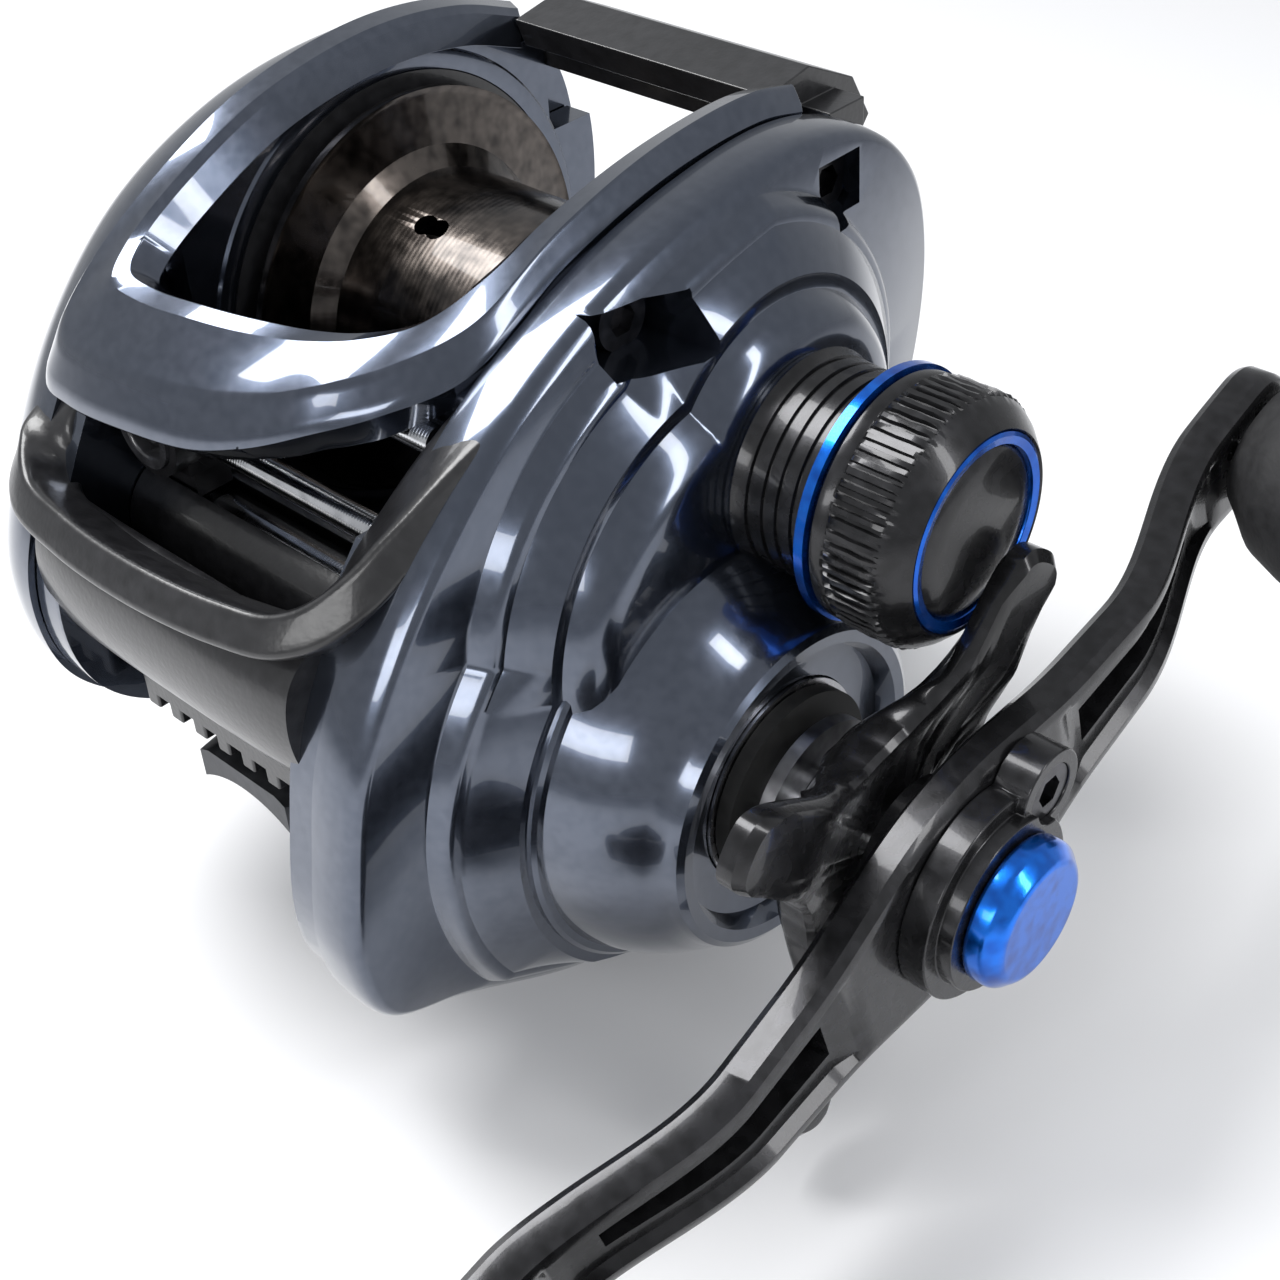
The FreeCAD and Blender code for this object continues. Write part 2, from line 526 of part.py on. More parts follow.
def make_star():
    start, hub = size("star_start"), size("star_hub_rad")
    blade = prism_x(side_wire(star_outline(size("star_reach"), hub + 2.2)), start, start + 12)
    # the arms rise from the hub to pass outside the cast control cap, as it stands inside their reach
    over, inner = size("cap_end") + 0.4, GEAR_CENTRES - size("cap_rad") - 0.5
    reach = size("star_reach") + 2
    band = [(start + 2.6, 0), (start + 2.6, hub), (over, inner), (over, reach), (over + 2.4, reach),
            (over + 2.4, inner + 1.0), (start + 7.4, hub), (start + 7.4, 0)]
    swept = Part.Face(Part.makePolygon([Vector(x, r, 0) for x, r in band + band[:1]])).revolve(
        Vector(0, 0, 0), Vector(1, 0, 0), 360)
    swept.translate(Vector(0, *DRIVE_AXIS))
    star = blade.common(swept).fuse([cylinder_x(hub, start + 0.6, start + 7.4, DRIVE_AXIS)])
    return star.removeSplitter().cut(cylinder_x(size("shaft_rad") + size("running_gap"), 0, 60, DRIVE_AXIS))


shaped("star_drag", make_star())
turned("crank_spacer", [("5.4", "star_start + 7.5", "crank_start - 0.02")], [("shaft_rad + 0.02", *THROUGH)],
       axis=DRIVE_AXIS)


def crank_frame(shape):
    """Takes a solid drawn with the crank along +Y onto the crank's own slant."""
    shape.rotate(Vector(0, 0, 0), Vector(1, 0, 0), size("crank_angle"))
    shape.translate(Vector(0, *DRIVE_AXIS))
    return shape


def make_crank():
    """The two-armed handle: an outline seen along X, given its sweep by a bent band seen from above."""
    reach, hub, start, thick = size("crank_reach"), size("crank_hub_rad"), size("crank_start"), size("crank_thick")
    sweep = size("crank_sweep")
    half = [(0, hub), (6.0, hub - 0.6), (13.0, 5.2), (24.0, 4.3), (34.0, 4.0), (reach - 3.0, 4.9),
            (reach + 3.4, 4.0), (reach + 5.2, 0)]
    upper = half[:-1]
    around = upper + [half[-1]] + [(u, -v) for u, v in reversed(upper)]
    around += [(-u, -v) for u, v in upper[1:]] + [(-half[-1][0], 0)] + [(-u, v) for u, v in reversed(upper[1:])]
    plan = prism_x(side_wire(around), start - sweep - 5, start + thick + 8)
    low = [(0, start), (reach - 11, start), (reach - 5.5, start - sweep), (reach + 7, start - sweep)]
    band = low + [(u, x + thick) for u, x in reversed(low)]
    right = [Vector(x, u, -12) for u, x in band]
    left = [Vector(x, -u, -12) for u, x in band]
    swept = None
    for corner in (right, left):
        solid = Part.Face(Part.makePolygon(corner + corner[:1])).extrude(Vector(0, 0, 24))
        swept = solid if swept is None else swept.fuse(solid)
    crank = plan.common(swept)
    for side in (1, -1):
        slot = Part.Face(Part.makePolygon([Vector(0, side * 13.5, -1.9), Vector(0, side * 33.0, -0.9),
                                           Vector(0, side * 33.0, 0.9), Vector(0, side * 13.5, 1.9),
                                           Vector(0, side * 13.5, -1.9)])).extrude(Vector(80, 0, 0))
        crank = crank.cut(slot)
        crank = crank.cut(cylinder_x(size("grip_pin_rad") - 0.6, 0, 80, (side * reach, 0)))
    crank = crank.cut(cylinder_x(size("shaft_rad") + 0.01, 0, 80))
    return crank_frame(crank.removeSplitter())


shaped("crank_handle", make_crank())
turned("handle_nut", [("nut_rad - 0.4", "crank_start + crank_thick + 0.02", "nut_end - 2.5")],
       [("shaft_rad + 0.01", *THROUGH)], axis=DRIVE_AXIS)


def make_retainer():
    """The nut's retainer: a stepped collar with an ear for its small screw."""
    start = RETAINER_START
    collar = cylinder_x(7.4, start, start + 2.0, DRIVE_AXIS).fuse([cylinder_x(6.2, start, start + 3.1, DRIVE_AXIS)])
    ear = polar(DRIVE_AXIS, RETAINER_OFF, RETAINER_ANGLE)
    collar = collar.fuse([cylinder_x(3.0, start, start + 2.6, ear)])
    collar = collar.cut(cylinder_x(size("nut_rad") - 0.38, 0, 80, DRIVE_AXIS))
    return collar.cut(cylinder_x(1.0, start + 0.4, 80, ear)).cut(cylinder_x(2.05, start + 1.5, 80, ear))


shaped("nut_retainer", make_retainer())
shaped("retainer_screw", screw(RETAINER_TOP, 2.0, polar(DRIVE_AXIS, RETAINER_OFF, RETAINER_ANGLE), 2.0, 0.97)
       .cut(box((RETAINER_TOP - 9, -60, -60), (RETAINER_TOP - 0.93, 60, 60))))


def make_nut_cap():
    """The round cap over the handle nut."""
    start, end, rad = size("nut_end") - 2.42, size("nut_end"), size("nut_rad")
    cap = cylinder_x(rad, start, end, DRIVE_AXIS)
    return cap.makeChamfer(1.0, [e for e in cap.Edges if abs(e.CenterOfMass.x - end) < 1e-6])


shaped("nut_cap", make_nut_cap())


def grip_axis(side):
    """The place (y, z) of a grip's pin at either end of the crank."""
    a = math.radians(size("crank_angle"))
    reach = side * size("crank_reach")
    return DRIVE_Y + reach * math.cos(a), DRIVE_Z + reach * math.sin(a)


def make_grip(side):
    """A round-waisted handle grip: its profile turned about its own pin."""
    rad, length = size("grip_rad"), size("grip_length")
    low = GRIP_FACE + 0.5
    waist = [(0.0, 0.62), (0.04, 0.78), (0.22, 0.93), (0.45, 1.0), (0.7, 0.97), (0.88, 0.82), (1.0, 0.5)]
    curve = Part.BSplineCurve()
    curve.interpolate([Vector(low + t * length, rad * w, 0) for t, w in waist])
    first, last = Vector(low, rad * waist[0][1], 0), Vector(low + length, rad * waist[-1][1], 0)
    wire = Part.Wire([Part.makeLine(Vector(low, 0, 0), first), curve.toShape(),
                      Part.makeLine(last, Vector(low + length, 0, 0)),
                      Part.makeLine(Vector(low + length, 0, 0), Vector(low, 0, 0))])
    grip = Part.Face(wire).revolve(Vector(0, 0, 0), Vector(1, 0, 0), 360)
    pin = size("grip_pin_rad") + size("running_gap")
    grip = grip.cut(Part.makeCylinder(pin, length - 1.6, Vector(low - 0.1, 0, 0), Vector(1, 0, 0)))
    grip = grip.cut(Part.makeCylinder(3.4, 3, Vector(low + length - 2.6, 0, 0), Vector(1, 0, 0)))
    grip.translate(Vector(0, *grip_axis(side)))
    return grip


for name, side in (("rear", 1), ("front", -1)):
    shaped(f"grip_{name}", make_grip(side))
    where = grip_axis(side)
    turned(f"grip_pin_{name}", [("grip_pin_rad", str(GRIP_FACE + 0.02), f"{GRIP_FACE} + grip_length - 2.6"),
           ("grip_pin_rad - 0.62", str(GRIP_FACE - size("crank_thick")), str(GRIP_FACE + 0.1))], axis=where)
    turned(f"grip_cap_{name}", [("3.35", f"{GRIP_FACE} + grip_length - 1.0", f"{GRIP_FACE} + grip_length + 0.4")],
           axis=where)


# ---- cast control ------------------------------------------------------------------------------


def make_cast_cap():
    """The cast-control cap: a knurled cup that screws on the plate's boss."""
    start, end, rad = size("cap_start"), size("cap_end"), size("cap_rad")
    cap = cylinder_x(rad, start, end)
    cap = cap.makeChamfer(1.3, [e for e in cap.Edges if abs(e.CenterOfMass.x - end) < 1e-6])
    cap = cap.cut(cylinder_x(size("boss_rad") - 1.0, start - 1, start + 3.4))
    knurl = [polar(SPOOL_AXIS, rad + 0.1, 360 / 48 * k) for k in range(48)]
    for y, z in knurl:
        cap = cap.cut(cylinder_x(0.28, start + 1.2, start + 5.4, (y, z)))
    return cap


shaped("cast_control_cap", make_cast_cap())
turned("cast_cap_ring", [("cap_rad + 0.05", "cap_start - 0.75", "cap_start - 0.05")],
       [("boss_rad - 1.0", *THROUGH)])
turned("tension_disc", [("2.4", "boss_end + 0.1", "boss_end + 0.7")])
turned("shaft_bearing_right", [("boss_rad - 1.65", "plate_face + 1.0", "plate_face + 3.6")],
       [("spool_shaft_rad + running_gap", *THROUGH)])


# ---- spool -------------------------------------------------------------------------------------


def make_spool():
    """The spool: two thin flanges, a hollow arbor with line holes, and a hub on the shaft."""
    half, rad, arbor = size("spool_half"), size("flange_rad"), size("arbor_rad")
    thick, wall = size("flange_thick"), size("arbor_wall")
    profile = [(-half, arbor - 2.4), (-half, rad - 0.5), (-half + 0.4, rad), (-half + thick + 0.2, rad),
               (-half + thick, rad - 0.6), (-half + thick + 0.6, arbor + 1.4), (-half + thick + 1.8, arbor)]
    outer = profile + [(-x, r) for x, r in reversed(profile)]
    inner = [(half, arbor - wall - 1.5), (half - 1.2, arbor - wall - 1.5), (half - 2.2, arbor - wall),
             (2.0, arbor - wall), (1.2, size("hub_rad")), (4.0, size("hub_rad")), (4.0, size("spool_shaft_rad")),
             (-4.0, size("spool_shaft_rad")), (-4.0, size("hub_rad")), (-1.2, size("hub_rad")),
             (-2.0, arbor - wall), (-half + 2.2, arbor - wall), (-half + 1.2, arbor - wall - 1.5),
             (-half, arbor - wall - 1.5)]
    points = [Vector(x, r, 0) for x, r in outer + inner]
    spool = Part.Face(Part.makePolygon(points + points[:1])).revolve(Vector(0, 0, 0), Vector(1, 0, 0), 360)
    for k in range(6):
        hole = Part.makeCylinder(0.9, 4, Vector(0, 0, arbor - 2.5), Vector(0, 0, 1))
        hole = hole.fuse([hole.translated(Vector(1.2, 0, 0))])
        hole.rotate(Vector(0, 0, 0), Vector(1, 0, 0), 60 * k + 25)
        spool = spool.cut(hole.translated(Vector(2.6 if k % 2 else -4.4, 0, 0)))
    return spool


shaped("spool", make_spool())
turned("spool_shaft", [("spool_shaft_rad - 0.01", "-spool_half - 3.4", "boss_end")])
shaped("spool_cross_pin", Part.makeCylinder(0.55, 4.6, Vector(size("gear_start") - 1.3, -2.3, 0), Vector(0, 1, 0)))
turned("spool_bearing_right", [(f"{SPOOL_SEAT - SEAT_GAP}", "wall_in + 0.2", "wall_in + wall_thick - 0.1")],
       [("spool_shaft_rad + running_gap", *THROUGH)])
turned("spool_bearing_left", [(f"{LEFT_SEAT - SLIP}", "-spool_half - 3.3", "-spool_half - 1.1")],
       [("spool_shaft_rad + running_gap", *THROUGH)])


# ---- clutch ------------------------------------------------------------------------------------


def make_yoke():
    """The clutch yoke: a forked bar that holds the pinion's groove and rides on two pins."""
    low = size("gear_start") - PINION_LEAD + PINION_FACE + SEAT_GAP
    yoke = box((low, -9.5, -YOKE_HALF), (low + 1.2, 9.5, YOKE_HALF)).cut(cylinder_x(PINION_TAIL_RAD + 0.12, 0, 60))
    for y in YOKE_PINS:
        yoke = yoke.cut(cylinder_x(YOKE_PIN_RAD + SEAT_GAP, 0, 60, (y, 0)))
    return yoke


shaped("clutch_yoke", make_yoke())
YOKE_PIN_END = size("plate_face") - size("plate_wall") - SEAT_GAP
shaped("yoke_pins", Part.makeCompound([cylinder_x(YOKE_PIN_RAD, WALL_OUT + SLIP, YOKE_PIN_END, (y, 0))
                                       for y in YOKE_PINS]))


def make_thumb_bar():
    """The thumb bar: a broad pad between the side walls, with an ear in each wall's slot."""
    profile = [(13.2, 17.0), (17.6, 17.8), (22.6, 15.4), (24.6, 12.0), (23.6, 10.8), (20.6, 12.8), (14.0, 14.8)]
    pad = prism_x(side_polygon(profile), -size("wall_in") + 0.35, size("wall_in") - 0.35)
    low_y, high_y, _, high_z = EAR_SLOT
    ears = prism_x(side_polygon([(low_y + 0.3, high_z - 0.3), (high_y - 0.4, high_z - 0.3), (high_y - 0.4, 12.2),
                                 (low_y + 0.3, 12.2)]), -WALL_OUT + 0.3, WALL_OUT - 0.3)
    return pad.fuse([ears]).removeSplitter()


shaped("thumb_bar", make_thumb_bar())

# ---- front guard and worm cover ----------------------------------------------------------------


def make_front_guard():
    """The black guard below the line window: a beam across the nose and an arm up each side wall."""
    half = size("wall_in") - 0.2
    beam = prism_x(side_polygon([(-34.6, -3.2), (-31.6, -2.5), (-30.8, -3.4), (-30.8, -12.6), (-33.4, -12.6),
                                 (-36.0, -8.6)]), -half, half)
    arm = side_polygon([(-34.6, -3.2), (-31.0, 0.4), (-28.6, 1.2), (-28.2, -2.0), (-30.4, -6.0), (-34.6, -7.0)])
    arms = [prism_x(arm, half - 3.0, half), prism_x(arm, -half, -half + 3.0)]
    return beam.fuse(arms).removeSplitter()


shaped("front_guard", make_front_guard())


def make_worm_cover():
    """The ribbed drain cover low in the nose."""
    cover = box((-10.6, -31.0, -20.6), (10.6, -24.05, -17.45))
    for k in range(7):
        cover = cover.cut(box((-9.2 + 2.8 * k, -32, -21), (-7.8 + 2.8 * k, -27, -19.4)))
    return cover


shaped("nose_grille", make_worm_cover())


# ---- palm side ---------------------------------------------------------------------------------


def shrunk(points, share):
    """An outline drawn in towards the palm side's centre to a share of its size."""
    cy, cz = PALM_CENTRE
    return [(cy + (y - cy) * share, cz + (z - cz) * share) for y, z in points]


def make_palm_plate():
    """The palm-side cover: a shell that narrows to its domed outer face."""
    depth, wall = size("palm_depth"), size("palm_wall")
    start = -WALL_OUT - 0.1
    inset = wall / 20.0
    scale = [(0.0, 1.0), (0.4, 0.97), (0.75, 0.86), (1.0, 0.64)]
    wires = [side_wire(shrunk(palm_outline(), k), start - t * depth) for t, k in scale]
    outer = Part.makeLoft(wires, True, True)
    wires = [side_wire(shrunk(palm_outline(), k - inset), start - t * (depth - wall) + (0.5 if t == 0 else 0))
             for t, k in scale]
    shell = outer.cut(Part.makeLoft(wires, True, True))
    pivot = Part.makeCylinder(LOCK_RAD + 0.06, 8, Vector(LOCK_X, LOCK_AT[0], LOCK_AT[1] - 1), Vector(0, 0, 1))
    return shell.cut(pivot)


shaped("palm_side_plate", make_palm_plate())
turned("brake_case", [("flange_rad + spool_gap - 0.1", "-wall_in - wall_thick", "-wall_in + 0.2"),
       ("4.6", "-wall_in - wall_thick - 2.4", "-wall_in - wall_thick")],
       [("brake_rad", "-wall_in - 1.6", "0"), (f"{LEFT_SEAT}", "-spool_half - 3.4", "0")])
turned("brake_dial", [("7.4", "-wall_in - wall_thick - 1.4", "-wall_in - wall_thick - 0.1")],
       [("4.7", *THROUGH)])
turned("brake_drum", [("brake_rad - 3.4", "-spool_half - 1.6", "-spool_half - 0.9")],
       [("9.8", *THROUGH)])
turned("brake_rotor", [("4.4", "-spool_half - 0.9", "-spool_half - 0.1")], [("spool_shaft_rad", *THROUGH)])


def make_lock_lever():
    """The palm plate's release: a pivot through the plate's lower wall with a finger lever under it."""
    y, z = LOCK_AT
    pivot = Part.makeCylinder(LOCK_RAD, 4.2, Vector(LOCK_X, y, z), Vector(0, 0, 1))
    return pivot.fuse([box((LOCK_X - 1.7, y - 1.7, z - 1.4), (LOCK_X + 1.7, y + 8.0, z))])


shaped("lock_lever", make_lock_lever())

# ---- foot --------------------------------------------------------------------------------------


def make_foot():
    """The reel foot: a long tapered plate, saddle-shaped below to sit in a rod's reel seat."""
    length, width, thick, top = size("foot_length"), size("foot_width"), size("foot_thick"), size("foot_top")
    tip = width / 2 - 2.4
    plan = [(-length / 2, tip), (-length / 2 + 6, width / 2), (length / 2 - 6, width / 2), (length / 2, tip)]
    plan += [(y, -x) for y, x in reversed(plan)]
    low = top - thick - 2.0
    blank = Part.Face(Part.makePolygon([Vector(x, y, low) for y, x in plan + plan[:1]])).extrude(
        Vector(0, 0, thick + 2.0 - 0.05))
    seat = Vector(0, -length / 2 - 2, top - thick - SADDLE_DROP)
    saddle = Part.makeCylinder(SADDLE_RAD, length + 4, seat, Vector(0, 1, 0))
    shell = Part.makeCylinder(SADDLE_RAD + thick, length + 4, seat, Vector(0, 1, 0))
    pad = box((-5.5, -11, top - thick - 1), (5.5, 11, top - 0.05))
    foot = blank.common(shell.fuse([pad])).cut(saddle)
    for y in FOOT_SCREWS:
        foot = foot.cut(Part.makeCylinder(1.05, 30, Vector(0, y, top - 15), Vector(0, 0, 1)))
        foot = foot.cut(Part.makeCone(2.3, 1.05, 1.2, Vector(0, y, top - thick + 0.5), Vector(0, 0, 1)))
    return foot


shaped("reel_foot", make_foot())


def foot_screw(y):
    """A countersunk screw from below the foot into the deck."""
    top = size("foot_top") - size("foot_thick") + 0.52
    head = Part.makeCone(2.2, 1.0, 1.16, Vector(0, y, top), Vector(0, 0, 1))
    return head.fuse([Part.makeCylinder(0.97, 3.2, Vector(0, y, top + 1.1), Vector(0, 0, 1))])


shaped("foot_screws", Part.makeCompound([foot_screw(y) for y in FOOT_SCREWS]))

# ---- check and write ---------------------------------------------------------------------------

AXIS_HEIGHT = size("foot_thick") - size("foot_top")
for piece in PARTS:
    piece.Placement = Placement(Vector(0, 0, AXIS_HEIGHT), Rotation()).multiply(piece.Placement)
doc.recompute()
bad = [o.Label for o in doc.Objects if set(o.State) & {"Invalid", "Error"}]
bad += [o.Label for o in PARTS if o.Shape.isNull() or not o.Shape.isValid() or not o.Shape.Solids]
if bad:
    raise RuntimeError(f"these pieces failed: {bad}")
os.makedirs("parts", exist_ok=True)
for piece in PARTS:
    piece.Shape.exportStep(f"parts/{piece.Label}.step")
print(len(PARTS), "nodes written")
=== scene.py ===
"""A low-profile baitcasting reel, left-hand retrieve: shells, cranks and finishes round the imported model.

Shapes are drawn in millimetres about the middle of the spool (+X to the crank, +Y to the rear, +Z up) and
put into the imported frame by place(), which reads the spool's own middle from the frame.
"""
import json
import math

import bmesh
import bpy
import numpy as np
from mathutils import Matrix, Vector


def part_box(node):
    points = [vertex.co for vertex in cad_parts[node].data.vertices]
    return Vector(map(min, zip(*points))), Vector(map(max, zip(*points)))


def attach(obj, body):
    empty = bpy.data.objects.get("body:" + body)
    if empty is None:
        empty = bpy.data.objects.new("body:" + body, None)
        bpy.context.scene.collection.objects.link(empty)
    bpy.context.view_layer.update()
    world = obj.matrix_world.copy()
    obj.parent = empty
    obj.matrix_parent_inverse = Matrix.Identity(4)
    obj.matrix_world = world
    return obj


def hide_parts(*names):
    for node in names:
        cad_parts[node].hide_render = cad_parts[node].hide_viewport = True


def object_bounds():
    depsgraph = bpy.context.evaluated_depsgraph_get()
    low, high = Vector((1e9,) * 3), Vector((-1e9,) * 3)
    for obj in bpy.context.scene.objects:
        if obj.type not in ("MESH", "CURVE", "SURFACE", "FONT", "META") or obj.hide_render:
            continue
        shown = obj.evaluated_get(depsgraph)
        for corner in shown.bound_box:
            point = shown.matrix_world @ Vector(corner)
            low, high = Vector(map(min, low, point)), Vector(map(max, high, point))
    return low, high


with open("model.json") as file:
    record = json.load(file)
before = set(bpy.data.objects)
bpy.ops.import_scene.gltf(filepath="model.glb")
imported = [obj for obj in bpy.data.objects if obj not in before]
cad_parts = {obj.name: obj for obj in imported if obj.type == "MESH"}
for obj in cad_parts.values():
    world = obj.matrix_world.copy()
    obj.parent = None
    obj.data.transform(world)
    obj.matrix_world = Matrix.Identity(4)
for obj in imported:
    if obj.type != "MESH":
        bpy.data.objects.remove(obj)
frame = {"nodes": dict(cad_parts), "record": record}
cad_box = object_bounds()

MM = 0.001
WELD = 1e-7
PACKED_WELD = 2e-6
FLAT_ANGLE = math.radians(0.6)
EDGE_ANGLE = math.radians(30.0)
EDGE_STEPS = 3
SOFT_SHARP = 60.0
NODE_BODY = {n: b for b, nodes in frame["record"]["behaviour"]["bodies"].items() for n in nodes}
NODE_SLOT = {s["node"]: s["material_slot"] for s in frame["record"]["subparts"]}


def centre(node):
    """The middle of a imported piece's box, in metres."""
    low, high = (np.array(corner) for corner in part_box(node))
    return (low + high) / 2


SPOOL_MIDDLE = centre("spool")
DRIVE_AXIS = (centre("main_gear") - SPOOL_MIDDLE)[1:] / MM
SPOOL_AXIS = np.zeros(2)


def place(points):
    """Millimetres about the spool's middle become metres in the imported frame."""
    return np.asarray(points, float) * MM + SPOOL_MIDDLE


# ---- meshes ------------------------------------------------------------------------------------


def finish_piece(piece, body, slot, replaces=(), sharp=35.0):
    """Smooth shading with creases past an angle, the body it rides on and the slot of its finish."""
    piece.data.polygons.foreach_set("use_smooth", np.ones(len(piece.data.polygons), bool))
    piece.data.set_sharp_from_angle(angle=math.radians(sharp))
    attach(piece, body)
    if replaces:
        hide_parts(*replaces)
    piece.data.materials.clear()
    piece.data.materials.append(FINISH[slot])
    return piece


def surface(name, points, body, slot, ring=False, replaces=(), sharp=35.0):
    """A grid of points (rows, columns) as quads, its last column joined to its first and, in a ring, its
    last row to its first. Open ends are filled."""
    points = np.asarray(points, float)
    rows, cols = points.shape[:2]
    index = np.arange(rows * cols).reshape(rows, cols)
    down = np.roll(index, -1, 0) if ring else index[1:]
    top = index if ring else index[:-1]
    faces = np.stack([top, np.roll(top, -1, 1), np.roll(down, -1, 1), down], -1).reshape(-1, 4)
    mesh = bpy.data.meshes.new(name)
    mesh.from_pydata(place(points.reshape(-1, 3)).tolist(), [], faces.tolist())
    piece = bpy.data.objects.new(name, mesh)
    bpy.context.scene.collection.objects.link(piece)
    shape = bmesh.new()
    shape.from_mesh(mesh)
    bmesh.ops.remove_doubles(shape, verts=shape.verts, dist=WELD)
    bmesh.ops.holes_fill(shape, edges=[e for e in shape.edges if e.is_boundary], sides=0)
    bmesh.ops.recalc_face_normals(shape, faces=shape.faces)
    if shape.calc_volume(signed=True) < 0:
        bmesh.ops.reverse_faces(shape, faces=shape.faces)
    shape.to_mesh(mesh)
    shape.free()
    return finish_piece(piece, body, slot, replaces, sharp)


def smooth_line(points, count, closed=False):
    """Centripetal Catmull-Rom curve through points, sampled evenly in its knot value."""
    p = np.asarray(points, float)
    if closed:
        p = np.vstack([p[-1], p, p[:2]])
    else:
        p = np.vstack([2 * p[0] - p[1], p, 2 * p[-1] - p[-2]])
    steps = np.linalg.norm(np.diff(p, axis=0), axis=1) ** 0.5
    knot = np.concatenate([[0], np.cumsum(steps)])
    t = np.linspace(knot[1], knot[-2], count, endpoint=not closed)
    i = np.clip(np.searchsorted(knot, t, "right") - 1, 1, len(p) - 3)
    k0, k1, k2, k3 = (knot[i + d][:, None] for d in (-1, 0, 1, 2))
    p0, p1, p2, p3 = (p[i + d] for d in (-1, 0, 1, 2))
    t = t[:, None]
    a1 = ((k1 - t) * p0 + (t - k0) * p1) / (k1 - k0)
    a2 = ((k2 - t) * p1 + (t - k1) * p2) / (k2 - k1)
    a3 = ((k3 - t) * p2 + (t - k2) * p3) / (k3 - k2)
    b1 = ((k2 - t) * a1 + (t - k0) * a2) / (k2 - k0)
    b2 = ((k3 - t) * a2 + (t - k1) * a3) / (k3 - k1)
    return ((k2 - t) * b1 + (t - k1) * b2) / (k2 - k1)


def turned(name, profile, axis, body, slot, ripple=None, count=160, replaces=(), sharp=35.0, ring=False):
    """A profile of (x, radius) points turned about an axis along X; ripple(x, angle) adds to the radius."""
    x, r = np.asarray(profile, float).T
    angle = np.linspace(0, 2 * np.pi, count, endpoint=False)
    added = ripple(x[:, None], angle[None, :]) if ripple else np.zeros((1, count))
    radius = r[:, None] + added * (r[:, None] > 0)
    grid = np.stack([np.broadcast_to(x[:, None], radius.shape), axis[0] + radius * np.cos(angle),
                     axis[1] + radius * np.sin(angle)], -1)
    return surface(name, grid, body, slot, ring=ring, replaces=replaces, sharp=sharp)


def without(piece, low, high):
    """Takes a box, given by two corners in millimetres, out of a piece."""
    corners = place([low, high])
    mesh = bpy.data.meshes.new("cutter")
    shape = bmesh.new()
    bmesh.ops.create_cube(shape, size=1.0)
    for vert in shape.verts:
        vert.co = [corners[int(value > 0)][axis] for axis, value in enumerate(vert.co)]
    bmesh.ops.recalc_face_normals(shape, faces=shape.faces)
    shape.to_mesh(mesh)
    shape.free()
    cutter = bpy.data.objects.new("cutter", mesh)
    bpy.context.scene.collection.objects.link(cutter)
    cut = piece.modifiers.new("cut", "BOOLEAN")
    cut.operation, cut.solver, cut.object = "DIFFERENCE", "EXACT", cutter
    whole = piece.data
    piece.data = bpy.data.meshes.new_from_object(piece.evaluated_get(bpy.context.evaluated_depsgraph_get()))
    piece.modifiers.clear()
    bpy.data.objects.remove(cutter)
    bpy.data.meshes.remove(whole)


def softened(node, width, cut_out=None):
    """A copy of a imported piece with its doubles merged, its edges rounded to a width and, where cut_out gives
    two corners, a box taken out of it."""
    mesh = frame["nodes"][node].data.copy()
    piece = bpy.data.objects.new(f"{node}_soft", mesh)
    bpy.context.scene.collection.objects.link(piece)
    shape = bmesh.new()
    shape.from_mesh(mesh)
    bmesh.ops.remove_doubles(shape, verts=shape.verts, dist=PACKED_WELD)
    bmesh.ops.dissolve_limit(shape, angle_limit=FLAT_ANGLE, verts=shape.verts, edges=shape.edges)
    shape.to_mesh(mesh)
    shape.free()
    if cut_out:
        without(piece, *cut_out)
    bevel = piece.modifiers.new("edges", "BEVEL")
    bevel.limit_method = "ANGLE"
    bevel.angle_limit = EDGE_ANGLE
    bevel.width = width * MM
    bevel.segments = EDGE_STEPS
    weighted = piece.modifiers.new("shading", "WEIGHTED_NORMAL")
    weighted.keep_sharp = True
    return finish_piece(piece, NODE_BODY[node], NODE_SLOT[node], (node,), SOFT_SHARP)


# ---- finishes ----------------------------------------------------------------------------------


def effect_group(name, inputs, outputs, build):
    """A shader node group with named sockets; build() wires its nodes."""
    group = bpy.data.node_groups.new(name, "ShaderNodeTree")
    for label, kind, value in inputs:
        socket = group.interface.new_socket(label, in_out="INPUT", socket_type=kind)
        if value is not None:
            socket.default_value = value
    for label, kind in outputs:
        group.interface.new_socket(label, in_out="OUTPUT", socket_type=kind)
    build(group, group.nodes.new("NodeGroupInput"), group.nodes.new("NodeGroupOutput"))
    return group


